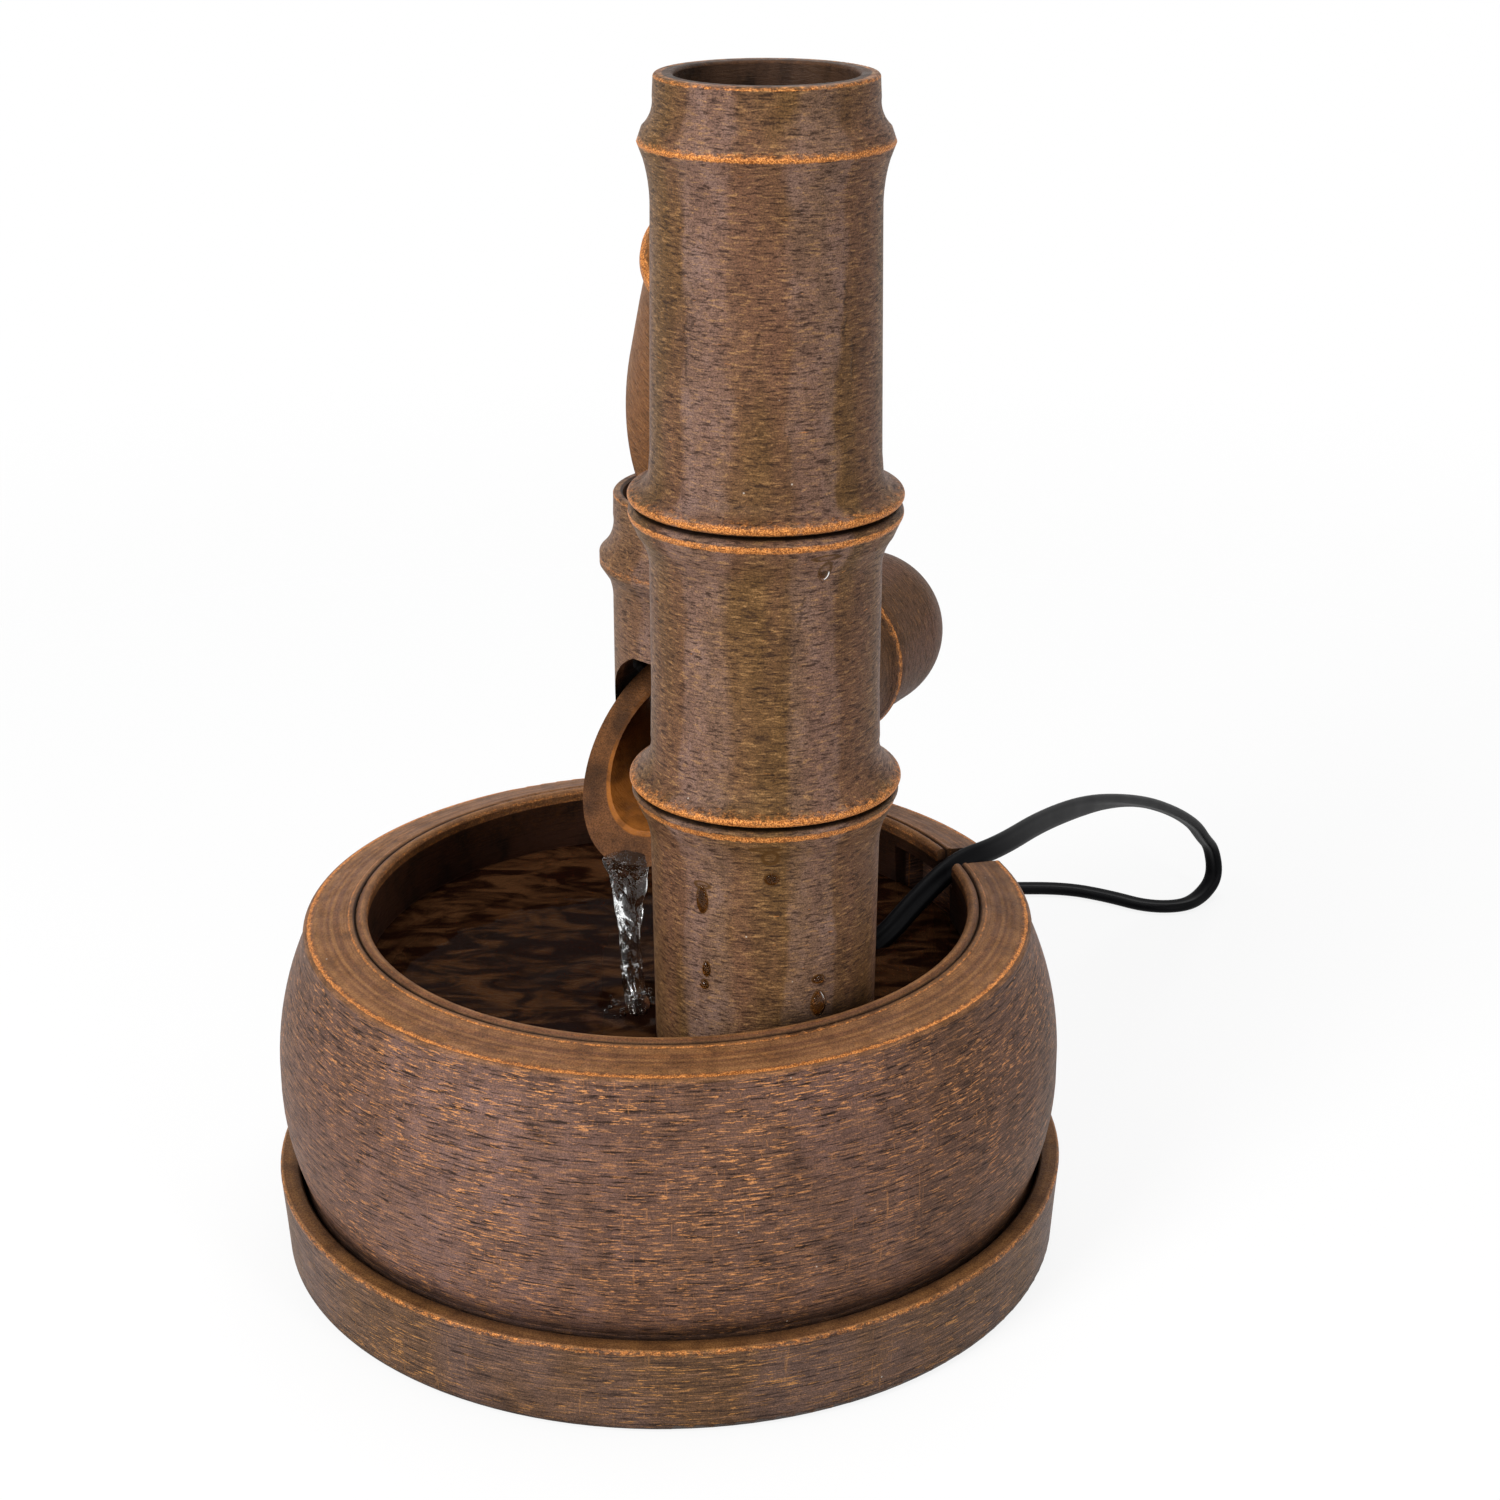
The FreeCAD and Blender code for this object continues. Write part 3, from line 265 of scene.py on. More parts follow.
    # Crests rubbed down to bare orange
    rub = grain(tree, place, RUB_MM, 5.0, 0.7)
    grit = grain(tree, place, GRIT_MM, 2.0, 0.7)
    crest = measured(((height, span, worn), (radius, RADII_MM, rims)))
    if crest is not None:
        bare = add(tree, "Math", (crest, add(tree, "Math", (rub, 0.8), **TIMES)), **PLUS)
        bare = add(tree, "MapRange", (bare, 0.80, 1.06), **EASED)
        orange = add(tree, "MapRange", (grit, 0.35, 0.65), **EASED)
        orange = add(tree, "Mix", (orange, colour("#9c5827"), colour("#d68e4b")), **COLOURS)
        shade = add(tree, "Mix", (add(tree, "Math", (bare, 0.94), **TIMES), shade, orange), **COLOURS)
        metal = add(tree, "Math", (metal, add(tree, "Math", (bare, 0.25), **TIMES)), **LARGER)
    if cut is not None:
        # The sawn face at a mouth is rubbed too
        off = add(tree, "VectorMath", (add(tree, "TexCoord").outputs["Object"], cut[0] * MM), **MINUS)
        away = add(tree, "VectorMath", (off, cut[1] * 1000.0), **DOT)
        away = add(tree, "Math", (away,), operation="ABSOLUTE")
        face = add(tree, "MapRange", (away, 0.3, 0.9, 1.0, 0.0), **EASED)
        sawn = add(tree, "MapRange", (cloud, 0.35, 0.7), **EASED)
        sawn = add(tree, "Mix", (sawn, colour("#6b4323"), colour("#3f2612")), **COLOURS)
        shade = add(tree, "Mix", (add(tree, "Math", (face, 0.8), **TIMES), shade, sawn), **COLOURS)
    sunk = measured(((radius, RADII_MM, grooves),))
    if sunk is not None:
        shade = add(tree, "Mix", (sunk, shade, colour("#1f130c")), **COLOURS)

    # Sand-fine speckle all over
    sand = add(tree, "MapRange", (grit, 0.30, 0.70, 1.0 - speckle, 1.0 + speckle), **EASED)
    shade = add(tree, "Mix", (1.0, shade, sand), **COLOURS, blend_type="MULTIPLY")

    # Painted shade darkens the corners, where little light reaches; pale dust sits in a few pits
    corner = add(tree, "AmbientOcclusion", {"Distance": CORNER_MM * MM}, samples=4)
    corner_shade = add(tree, "MapRange", (corner.outputs["AO"], 0.40, 0.92, 0.8, 0.0), **EASED)
    shade = add(tree, "Mix", (corner_shade, shade, colour("#170e09")), **COLOURS)
    pits = add(tree, "TexVoronoi", {"Vector": place, "Scale": PITS_PER_MM})
    dust = add(tree, "MapRange", (pits.outputs["Distance"], 0.012, 0.028, 1.0, 0.0), **EASED)
    shade = add(tree, "Mix", (add(tree, "Math", (dust, 0.7), **TIMES), shade, colour("#c9bfb2")), **COLOURS)

    split = None
    for one in cracks:
        line = crack(tree, parts, *one)
        split = line if split is None else add(tree, "Math", (split, line), **LARGER)
    if split is not None:
        shade = add(tree, "Mix", (add(tree, "Math", (split, 0.8), **TIMES), shade, colour("#21150d")), **COLOURS)
    polish = add(tree, "MapRange", (lines, 0.3, 0.7, rough[1], rough[0]))

    # Painted shade in the bores: within the given radius the wall is drawn dark, in clouds, for the shade there
    if inside is not None:
        bore = add(tree, "MapRange", (radius, inside, inside + 0.4, 1.0, 0.0), **EASED)
        for limit in ((height, inside_top, inside_top + 0.3, 1.0, 0.0), (height, inside_from - 0.3, inside_from)):
            bore = add(tree, "Math", (bore, add(tree, "MapRange", limit, **EASED)), **TIMES)
        depth = add(tree, "MapRange", (cloud, 0.40, 0.72), **EASED)
        depth = add(tree, "Mix", (depth, colour(bore_shade_colour), colour("#0d0705")), **COLOURS)
        shade = add(tree, "Mix", (add(tree, "Math", (bore, 0.93), **TIMES), shade, depth), **COLOURS)
    if wet:
        # Water runs over this stretch of the bore and leaves it warmer and glossy
        film = add(tree, "Math", (profile(tree, height, *span, wet), bore), **TIMES)
        streak = add(tree, "MapRange", (cloud, 0.35, 0.7), **EASED)
        streak = add(tree, "Mix", (streak, colour("#b26c2d"), colour("#6d411c")), **COLOURS)
        shade = add(tree, "Mix", (add(tree, "Math", (film, 0.85), **TIMES), shade, streak), **COLOURS)
        polish = add(tree, "Mix", (film, polish, WET_ROUGHNESS), **COLOURS)
    for azimuth, level, wide, tall in stains:
        # A drop's wet edge: darker, round the bead
        turn = math.radians(azimuth)
        side = add(tree, "VectorMath", (place, (-math.sin(turn) / wide, math.cos(turn) / wide, 0)), **DOT)
        front = add(tree, "VectorMath", (place, (math.cos(turn), math.sin(turn), 0)), **DOT)
        rise = add(tree, "Math", (add(tree, "Math", (height, level), **MINUS), 1.0 / tall), **TIMES)
        edge = add(tree, "VectorMath", (add(tree, "CombineXYZ", (side, rise)),), **LENGTH)
        edge = add(tree, "Math", (edge, add(tree, "Math", (rub, 0.6), **TIMES)), **PLUS)
        spot = profile(tree, edge, 0.0, 2.0, (
            (0.0, 0.15), (0.8, 0.25), (1.1, 0.9), (1.3, 0.85), (1.45, 0.0), (2.0, 0.0)))
        spot = add(tree, "Math", (spot, add(tree, "MapRange", (front, 12.0, 14.0), **EASED)), **TIMES)
        shade = add(tree, "Mix", (spot, shade, colour("#4c3113")), **COLOURS)

    # Relief: wrinkles, brush strokes and sand, with the cracks sunk in
    bumps = add(tree, "Math", (lines, add(tree, "Math", (stroke, 0.4), **TIMES)), **PLUS)
    bumps = add(tree, "Math", (bumps, add(tree, "Math", (grit, 0.4), **TIMES)), **PLUS)
    if split is not None:
        bumps = add(tree, "Math", (bumps, add(tree, "Math", (split, 1.2), **TIMES)), **MINUS)
    surface = add(tree, "BsdfPrincipled", {
        "Base Color": shade, "Roughness": polish, "Metallic": metal, "Specular IOR Level": SHEEN,
        "Normal": add(tree, "Bump", {"Height": bumps, "Strength": 0.6, "Distance": RELIEF_MM * MM})})
    add(tree, "OutputMaterial", {"Surface": surface})
    return made


def moulded(name, shade, roughness, grain_mm=0.8, relief=0.00008, dust="#4b4a48", sheen=0.5, index=1.5):
    """Moulded plastic or rubber: an even dull grain and a little dust. A mould's grain is about 0.1 mm, which is too
    fine to show here, so it is drawn coarser."""
    made, tree = new_material(name)
    place = local_place(tree)
    film = grain(tree, place, (11, 11, 11), 4.0, 0.6)
    veil = add(tree, "MapRange", (film, 0.45, 0.75, 0.0, 0.18), **EASED)
    pits = grain(tree, place, (grain_mm,) * 3, 3.0, 0.6)
    surface = add(tree, "BsdfPrincipled", {
        "Base Color": add(tree, "Mix", (veil, colour(shade), colour(dust)), **COLOURS),
        "Roughness": add(tree, "MapRange", {
            "Value": film, "To Min": roughness - 0.08, "To Max": roughness + 0.08}),
        "Specular IOR Level": sheen, "IOR": index,
        "Normal": add(tree, "Bump", {"Height": pits, "Strength": 0.5, "Distance": relief})})
    add(tree, "OutputMaterial", {"Surface": surface})
    return made


def drawn_metal(name, shade, roughness):
    """Drawn metal: lines along it from the die. They are 0.05 mm apart or less, and drawn at 0.35 to show."""
    made, tree = new_material(name)
    lines = grain(tree, local_place(tree), (14, 0.35, 0.35), 3.0, 0.6)
    dull = add(tree, "MapRange", (lines, 0.35, 0.7, 0.0, 0.35), **EASED)
    surface = add(tree, "BsdfPrincipled", {
        "Base Color": add(tree, "Mix", (dull, colour(shade), colour("#6b5a3a")), **COLOURS), "Metallic": 1.0,
        "Roughness": add(tree, "MapRange", {"Value": lines, "To Min": roughness, "To Max": roughness + 0.15}),
        "Normal": add(tree, "Bump", {"Height": lines, "Strength": 0.3, "Distance": 0.00005})})
    add(tree, "OutputMaterial", {"Surface": surface})
    return made


def clear_water(name, ripple_mm, depth, shade="#f4f6f6", index=1.333, clear=1.0, drift=None):
    """Clean moving water: hardly a colour of its own, broken by small ripples. Painted brown light from a bowl may
    drift in it."""
    made, tree = new_material(name)
    place = local_place(tree)
    tone = colour(shade)
    if drift:
        # Painted brown light from the bowl, in clouds
        clouds = add(tree, "MapRange", (grain(tree, place, (15, 7, 9), 4.0, 0.6, 1.2), 0.42, 0.66), **EASED)
        tone = add(tree, "Mix", (clouds, tone, colour(drift)), **COLOURS)
    swell = grain(tree, place, ripple_mm, 2.0, 0.5, 0.6)
    surface = add(tree, "BsdfPrincipled", {
        "Base Color": tone, "Transmission Weight": clear, "IOR": index, "Roughness": 0.02,
        "Normal": add(tree, "Bump", {"Height": swell, "Strength": 0.6, "Distance": depth})})
    add(tree, "OutputMaterial", {"Surface": surface})
    return made


def lying(azimuth, fall):
    """Axis of a lying piece and the direction that points up from it."""
    along = Vector((math.cos(azimuth) * math.cos(fall), math.sin(azimuth) * math.cos(fall), -math.sin(fall)))
    level = Vector((0, 0, 1)).cross(along).normalized()
    return along, along.cross(level)


# The spout and the tipper lie on slanting axes; each has a long slanting cut at its mouth, given as point and normal
SPOUT_AXIS, SPOUT_UP = lying(SPOUT_AZ, SPOUT_DIP)
TIPPER_AXIS, TIPPER_UP = lying(TIPPER_AZ, -TIPPER_RISE)
spout_cut = (Vector(SPOUT_MM) + SPOUT_AXIS * SPOUT_CUT_MM,
             (SPOUT_AXIS + SPOUT_UP * (SPOUT_CUT_HALF_MM / SPOUT_R_MM)).normalized())
tipper_cut = (Vector(PIVOT_MM) - TIPPER_AXIS * TIPPER_MOUTH_MM,
              (TIPPER_AXIS - TIPPER_UP * (TIPPER_MOUTH_HALF_MM / TIPPER_R_MM)).normalized())

# Drops of water on the column: azimuth, height, half width and half length
DROPS_LOW = ((-87.9, 122.4, 1.9, 1.9), (-87.1, 117.0, 1.6, 1.5), (-122.7, 110.4, 1.45, 3.2),
             (-120.7, 94.3, 0.95, 1.8), (-121.9, 90.5, 1.0, 1.1), (-62.6, 92.2, 1.5, 1.0), (-62.5, 86.4, 1.8, 3.0))
DROPS_MIDDLE = ((-62.8, 184.2, 1.5, 2.2),)

# Where the painted violet-grey sheen, a painted reflection of the softboxes, lies round the upright pieces, as
# azimuth and weight
COLUMN_PAINTED_SHEEN = ((-180, 0.35), (-150, 0.05), (-138, 0.1), (-131, 0.95), (-114, 0.75), (-103, 0.1), (-82, 0.1),
                (-75, 0.7), (-56, 0.85), (-50, 0.1), (-28, 0.0), (0, 0.5), (25, 0.7), (50, 0.1), (90, 0.6),
                (120, 0.5), (150, 0.1), (180, 0.35))
# Painted sheen round the basin, as azimuth and weight
BASIN_PAINTED_SHEEN = ((-180, 0.5), (-160, 0.2), (-142, 0.4), (-122, 1.0), (-104, 0.7), (-94, 0.3), (-78, 0.45), (-60, 0.5),
               (-42, 0.15), (-15, 0.0), (10, 0.5), (40, 0.6), (80, 0.2), (120, 0.6), (150, 0.2), (180, 0.5))

# Cast polyresin: matt and speckled like unglazed clay, brown under gold and a painted violet sheen, orange where
# hands would rub it.
# Worn crests, gilt bands and wet stretches are given as height and weight along each piece's own axis.
materials = {
    "basin": cast_resin(
        "antiqued_resin_basin", body=("#5a4034", "#533928"), bands=(34, 34, 60), dark="#21150f", pale="#8c6345",
        wrinkle=(6.4, 6.4, 0.42), ply=0.95, fleck=(3.4, 3.4, 0.36), flecks=(0.56, 0.62), fleck_colour="#c48652",
        patch=(30, 30, 20), upright=0.45, painted_sheen=BASIN_PAINTED_SHEEN, painted_sheen_colour="#765b54", speckle=0.38,
        inside=73.2, inside_top=81.6, bore_shade_colour="#2e190f",
        plain=((81.3, 0.0), (82.0, 0.75), (90.0, 1.0)),
        worn=((20, 0.0), (79.6, 0.0), (80.8, 0.2), (81.4, 0.6), (81.9, 0.76), (82.1, 0.1), (84.6, 0.1)),
        rims=((60, 0.0), (70.1, 0.1), (70.5, 0.5), (71.2, 0.15), (72.3, 0.4), (73.0, 0.05), (74.0, 0.0), (74.8, 0.55),
              (75.4, 0.15), (81.2, 0.1), (82.6, 0.24), (83.4, 0.46), (84.2, 0.7), (84.8, 0.3), (85.0, 0.1)),
        grooves=((60, 0.0), (72.7, 0.0), (73.1, 0.8), (73.5, 0.8), (74.1, 0.0), (100, 0.0)), rough=(0.42, 0.58)),
    "tray": cast_resin(
        "antiqued_resin_tray", body=("#5c463c", "#583f2b"), bands=(24, 24, 50), dark="#2a1d18", pale="#86624a",
        wrinkle=(8.0, 8.0, 0.42), ply=0.9, fleck=(4.4, 4.4, 0.38), flecks=(0.575, 0.63), fleck_colour="#ae7a44",
        patch=(26, 26, 20), upright=0.5, span=(0, 30), plain=((0, 0.0), (21.3, 0.0), (21.7, 0.8), (30, 0.8)),
        worn=((0, 0.1), (3, 0.0), (16.5, 0.0), (19.6, 0.2), (21.0, 0.5), (21.6, 0.5), (21.8, 0.1)),
        rims=((60, 0.0), (89.5, 0.5), (90.3, 0.25), (91.2, 0.0), (100, 0.0))),
    "column_lower": cast_resin(
        "antiqued_resin_column_foot", at=(*COLUMN_MM, 0), inside=21.5, span=(0, 140), painted_sheen=COLUMN_PAINTED_SHEEN,
        worn=((0, 0.0), (121.8, 0.0), (125.0, 0.12), (126.3, 0.28), (127.0, 0.62), (127.9, 0.62), (128.4, 0.2),
              (129.4, 0.1), (140, 0.0)),
        stains=DROPS_LOW + ((-90.4, 124.7, 3.4, 0.6), (-122.7, 113.8, 2.1, 0.9))),
    "column_middle": cast_resin(
        "antiqued_resin_column_middle", at=(*COLUMN_MM, 0), inside=21.5, span=(120, 200), painted_sheen=COLUMN_PAINTED_SHEEN,
        cracks=((-73.8, 165, 181, -0.22, 0.6), (-79.5, 147, 161, 0.16, 0.5)),
        worn=((130.2, 0.45), (130.7, 0.66), (131.6, 0.6), (132.5, 0.44), (133.8, 0.28), (137.0, 0.14), (140, 0.0),
              (184.0, 0.0), (187.0, 0.14), (188.8, 0.26), (189.6, 0.62), (190.5, 0.62), (191.1, 0.2), (192.9, 0.4)),
        stains=DROPS_MIDDLE + ((-64.0, 187.4, 3.2, 0.7),)),
    "column_upper": cast_resin(
        "antiqued_resin_column_top", at=(*COLUMN_MM, 0), inside=20.5, bore_shade_colour="#3d2a1e", span=(190, 280),
        painted_sheen=COLUMN_PAINTED_SHEEN,
        cracks=((-131.5, 217, 241, 0.0, 0.55), (-127.6, 231, 245, 0.0, 0.5), (-95.6, 221, 235, -0.31, 0.4),
                (-48.6, 229, 244, 0.0, 0.8), (-44.0, 221, 231, 0.0, 0.6), (-79.0, 208, 216, 0.0, 0.5),
                (-70.0, 198, 206, 0.0, 0.6)),
        worn=((192.9, 0.45), (193.4, 0.66), (194.3, 0.6), (195.2, 0.44), (196.5, 0.26), (199.5, 0.12), (202, 0.0),
              (258.0, 0.0), (261.5, 0.16), (263.8, 0.16), (265.3, 0.3), (266.2, 0.72), (267.0, 0.5), (268.2, 0.3),
              (272.5, 0.24), (274.0, 0.1), (278.2, 0.1), (279.1, 0.6), (279.5, 0.4))),
    "rear_stem": cast_resin(
        "antiqued_resin_stem", at=(*STEM_MM, 0), inside=22.6, bore_shade_colour="#4a3325",
        body=("#6f503c", "#6b4b2c"), span=(100, 176), painted_sheen=COLUMN_PAINTED_SHEEN,
        worn=((103, 0.35), (104.5, 0.1), (110, 0.0), (154.0, 0.0), (156.2, 0.3), (157.6, 0.5), (159.0, 0.35),
              (161.0, 0.05), (172.2, 0.1), (173.2, 0.55), (173.7, 0.35))),
    "stem_rung": cast_resin("antiqued_resin_rung", at=(*STEM_MM, 152), axis=(0.1502, -0.9886, 0)),
    "spout": cast_resin(
        "antiqued_resin_spout", at=SPOUT_MM, axis=SPOUT_AXIS, body=("#744a27", "#65431f"), bands=(15, 15, 60),
        dark="#45290f", pale="#9a6a38", fleck_colour="#b06d30", inside=15.4, inside_from=2.2,
        bore_shade_colour="#2a170c", span=(-12, 90),
        worn=((-12, 0.0), (-4, 0.05), (-1.6, 0.6), (1.2, 0.6), (3.0, 0.1), (16, 0.0), (88, 0.0)), cut=spout_cut,
        wet=((-12, 0.0), (2, 0.5), (88, 0.8))),
    "tipper": cast_resin(
        "antiqued_resin_tipper", at=PIVOT_MM, axis=TIPPER_AXIS, body=("#5f4234", "#573b26"), bands=(18, 18, 60),
        dark="#33210f", pale="#845a30", fleck_colour="#a4672f", inside=15.4, inside_top=62.0,
        bore_shade_colour="#1e110a", span=(-60, 100),
        worn=((-60, 0.0), (46, 0.0), (51.0, 0.1), (52.8, 0.42), (54.0, 0.58), (55.4, 0.5), (57.4, 0.1), (100, 0.0)),
        cut=tipper_cut, wet=((-60, 1.0), (-32, 0.95), (-12, 0.35), (4, 0.0), (90, 0.0))),
    # Closed-cell foam: dull, with coarse pits
    "base_pad": moulded("closed_cell_foam", "#33312f", 0.9, 0.9, 0.0002),
    # Injection-moulded ABS: near black and satin, with the fine grain of a spark-eroded mould
    "pump_body": moulded("abs_pump_housing", "#141517", 0.42),
    "pump_cover": moulded("abs_pump_cover", "#17181a", 0.42),
    "pump_dial": moulded("abs_flow_dial", "#1f2226", 0.36),
    # Sintered ferrite and fired alumina: dull dark grey, and smooth off-white
    "pump_impeller": moulded("ferrite_rotor", "#2c2d31", 0.5),
    "pump_shaft": moulded("alumina_shaft", "#d9d6cc", 0.25, 0.4, 0.00002, "#b8b4a8"),
    # Moulded rubber and soft vinyl: black, with a broad weak shine
    "pump_cups": moulded("nitrile_rubber", "#1b1a1a", 0.6),
    "lead_boot": moulded("soft_vinyl_boot", "#14151a", 0.45),
    "plug_body": moulded("soft_vinyl_plug", "#14151a", 0.48),
    # Drawn brass and stainless steel: bright, with fine lines along the pull of the die
    "plug_blades": drawn_metal("drawn_brass", "#b99a56", 0.25),
    "pivot_pin": drawn_metal("drawn_stainless_steel", "#a9a9a6", 0.22),
    # Moulded acetal: waxy off-white
    "pivot_bushes": moulded("acetal_bush", "#d8d2c4", 0.35, 0.5, 0.00003, "#8d7a64"),
}
for piece, finish in materials.items():
    slots = nodes[piece].material_slots
    if not slots:
        nodes[piece].data.materials.append(finish)
    for slot in slots:
        slot.material = finish

# Extruded soft vinyl: black and nearly matt, with an index below vinyl's 1.5 for the weak shine in the photograph
vinyl = moulded("soft_vinyl_lead", "#050507", 0.45, 0.5, 0.00003, "#0b0c10", 0.3, 1.2)
# Water: clear where it falls, and brown where it stands over the dark bowl, the brown being painted light from the
# bowl. Pool and beads mirror the resin round them rather than a white room, so their index is below water's 1.333.
water_still = clear_water("water_in_basin", (13, 17, 13), 0.0008, "#45281c", 1.035, 0.86, "#a87148")
water_fall = clear_water("falling_water", (2.6, 2.6, 9.0), 0.0012)
water_drop = clear_water("water_drops", (6, 6, 6), 0.0001, "#f0cf9c", 1.2)


# The lead, two cores side by side. Its route is the solid's, led a few millimetres aside where the photograph shows
# its loop, and lowered to a flat lead's own height on the floor.
LEAD_WIDE = 5.6 * MM
LEAD_THICK = 2.8 * MM
FLOOR_MM = 1.6                  # middle of the lead on the floor, and of the coil's second layer
UPPER_MM = 4.7
lead_points = [
    (22.0, 3.0, 61.6), (37.0, 3.0, 61.6), (51.0, 5.6, 70.6), (59.4, 14.2, 77.0), (70.0, 24.8, 82.7),
    (80.7, 34.3, 82.2), (95.4, 63.6, 77.5), (113.1, 100.9, 66.7), (130.6, 134.3, 53.4), (144.2, 158.1, 40.3),
    (153.7, 173.5, 29.4), (158.2, 181.7, 21.3), (162.3, 187.5, 15.4), (163.9, 187.0, 5.7),
    (158.7, 180.9, FLOOR_MM), (151.9, 173.9, FLOOR_MM), (140.9, 173.9, FLOOR_MM), (130.6, 181.2, FLOOR_MM),
    (118.0, 187.3, FLOOR_MM), (99.9, 187.5, FLOOR_MM), (73.2, 185.6, FLOOR_MM), (46.0, 181.5, FLOOR_MM),
    (17.6, 181.5, FLOOR_MM)]

# Put-away coil: half turns to the left, in to the middle on the floor and out again on top
COIL_MM = (12.0, 181.5)
COIL_R_MM = 38.5
COIL_STEP_MM = 3.05
INWARD = 6                      # half turns on the way in
PER_HALF = 6                    # points in each
radii = [COIL_R_MM - k * COIL_STEP_MM for k in range(INWARD + 1)]
radii = radii + radii[-2::-1]
edge_y = COIL_MM[1]
for k, r in enumerate(radii):
    side = -1 if k % 2 == 0 else 1
    centre_y = edge_y + side * r
    for n in range(PER_HALF):
        a = math.pi * (n + 0.5) / PER_HALF
        # The spline stays inside its control points, so they lie a little outside the arc
        wide = r / (0.75 + 0.25 * math.cos(math.pi / PER_HALF))
        level = FLOOR_MM if k < INWARD else UPPER_MM
        if k == INWARD:
            level = FLOOR_MM + (UPPER_MM - FLOOR_MM) * (n + 0.5) / PER_HALF
        lead_points.append((COIL_MM[0] + side * wide * math.sin(a), centre_y - side * wide * math.cos(a), level))
    edge_y += side * 2 * r
lead_points += [(17.0, edge_y, UPPER_MM), (26.0, edge_y, 6.6), (33.0, edge_y, 9.0), (42.0, edge_y, 9.1)]


def route_line(name, points_mm):
    """Points along the smooth spline that has the route's points as its controls."""
    curve = bpy.data.curves.new(name, "CURVE")
    curve.dimensions = "3D"
    spline = curve.splines.new("NURBS")
    spline.points.add(len(points_mm) - 1)
    for point, at in zip(spline.points, points_mm):
        point.co = (*(Vector(at) * MM), 1.0)
    spline.order_u = 3
    spline.use_endpoint_u = True
    curve.resolution_u = 8
    bare = bpy.data.objects.new(name, curve)
    mesh = bpy.data.meshes.new_from_object(bare)
    line = [v.co.copy() for v in mesh.vertices]
    bpy.data.meshes.remove(mesh)
    bpy.data.objects.remove(bare)
    return [p for k, p in enumerate(line) if k == 0 or (p - line[k - 1]).length > 1e-6]


def tangents(line):
    """Direction of a line at each of its points."""
    out = []
    for k in range(len(line)):
        a = line[max(k - 1, 0)]
        b = line[min(k + 1, len(line) - 1)]
        out.append((b - a).normalized())
    return out


def join_rings(mesh, rings):
    """Faces between rings of points that follow each other."""
    for a, b in zip(rings, rings[1:]):
        for k in range(len(a)):
            n = (k + 1) % len(a)
            mesh.faces.new((a[k], a[n], b[n], b[k]))


def close_ends(mesh, rings):
    """Flat faces over the first ring and the last."""
    mesh.faces.new(rings[0][::-1])
    mesh.faces.new(rings[-1])


def swept(name, line, section, wides):
    """Solid mesh: a closed section, as pairs along and across the wide axis, at each point of a line."""
    mesh = bmesh.new()
    rings = []
    for at, along, wide in zip(line, tangents(line), wides):
        wide = (wide - along * wide.dot(along)).normalized()
        thin = along.cross(wide)
        rings.append([mesh.verts.new(at + wide * u + thin * v) for u, v in section])
    join_rings(mesh, rings)
    close_ends(mesh, rings)
    return finish_mesh(name, mesh)


def finish_mesh(name, mesh, smooth=True):
    """The mesh as a piece of the scene, with its faces turned outwards."""
    bmesh.ops.recalc_face_normals(mesh, faces=mesh.faces)
    data = bpy.data.meshes.new(name)
    mesh.to_mesh(data)
    mesh.free()
    for face in data.polygons:
        face.use_smooth = smooth
    piece = bpy.data.objects.new(name, data)
    bpy.context.collection.objects.link(piece)
    return piece


def carried_frames(line, first):
    """The wide axis carried along the line without twist."""
    out = [first]
    heads = tangents(line)
    for a, b in zip(heads, heads[1:]):
        out.append(a.rotation_difference(b) @ out[-1])
    return out


LEAD_SIDES = 28
LEAD_SHOULDER = 1.25            # above 1, the section is flatter than an ellipse
GROOVE_DEPTH = 0.22             # shares of half the thickness and of the width
GROOVE_WIDTH = 0.16


def twin_section(wide, thick):
    """Two joined round cores with a groove between them."""
    out = []
    for k in range(LEAD_SIDES):
        a = 2 * math.pi * k / LEAD_SIDES
        u = math.cos(a) * wide / 2
        v = math.sin(a)
        level = math.copysign(min(1.0, abs(v) * LEAD_SHOULDER), v) * thick / 2
        dip = 1.0 - GROOVE_DEPTH * math.exp(-(u / (GROOVE_WIDTH * wide)) ** 2)
        out.append((u, level * dip))
    return out


lead_line = route_line("lead_route", lead_points)
walked = [0.0]
for a, b in zip(lead_line, lead_line[1:]):
    walked.append(walked[-1] + (b - a).length)
LANDED = 1.75 * MM              # below this the lead lies on the floor
landing = next(k for k, p in enumerate(lead_line) if p.z < LANDED)
# From the pump to the rim the flat side faces the photograph's camera, and it turns over to lie flat where it lands
FORWARD = Vector((0, 0.93, -0.366))
UPWARD = Vector((0, 0, 1))
TURN_FROM = 0.10                # walked from the pump, and left to walk before it lands
TURN_ENDS_BEFORE = 0.015
heads = tangents(lead_line)
lying_flat = heads[landing].cross(UPWARD)
wides = []
for k, (s, along) in enumerate(zip(walked, heads)):
    share = min(max((s - TURN_FROM) / (walked[landing] - TURN_ENDS_BEFORE - TURN_FROM), 0.0), 1.0)
    share = share * share * (3 - 2 * share)
    across_floor = along.cross(UPWARD) if k > landing else lying_flat
    wides.append((FORWARD.cross(along) * (1 - share) + across_floor * share).normalized())
lead = swept("twin_lead", lead_line, twin_section(LEAD_WIDE, LEAD_THICK), wides)
lead.data.materials.append(vinyl)
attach(lead, "fountain")
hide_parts("lead", "lead_coil")

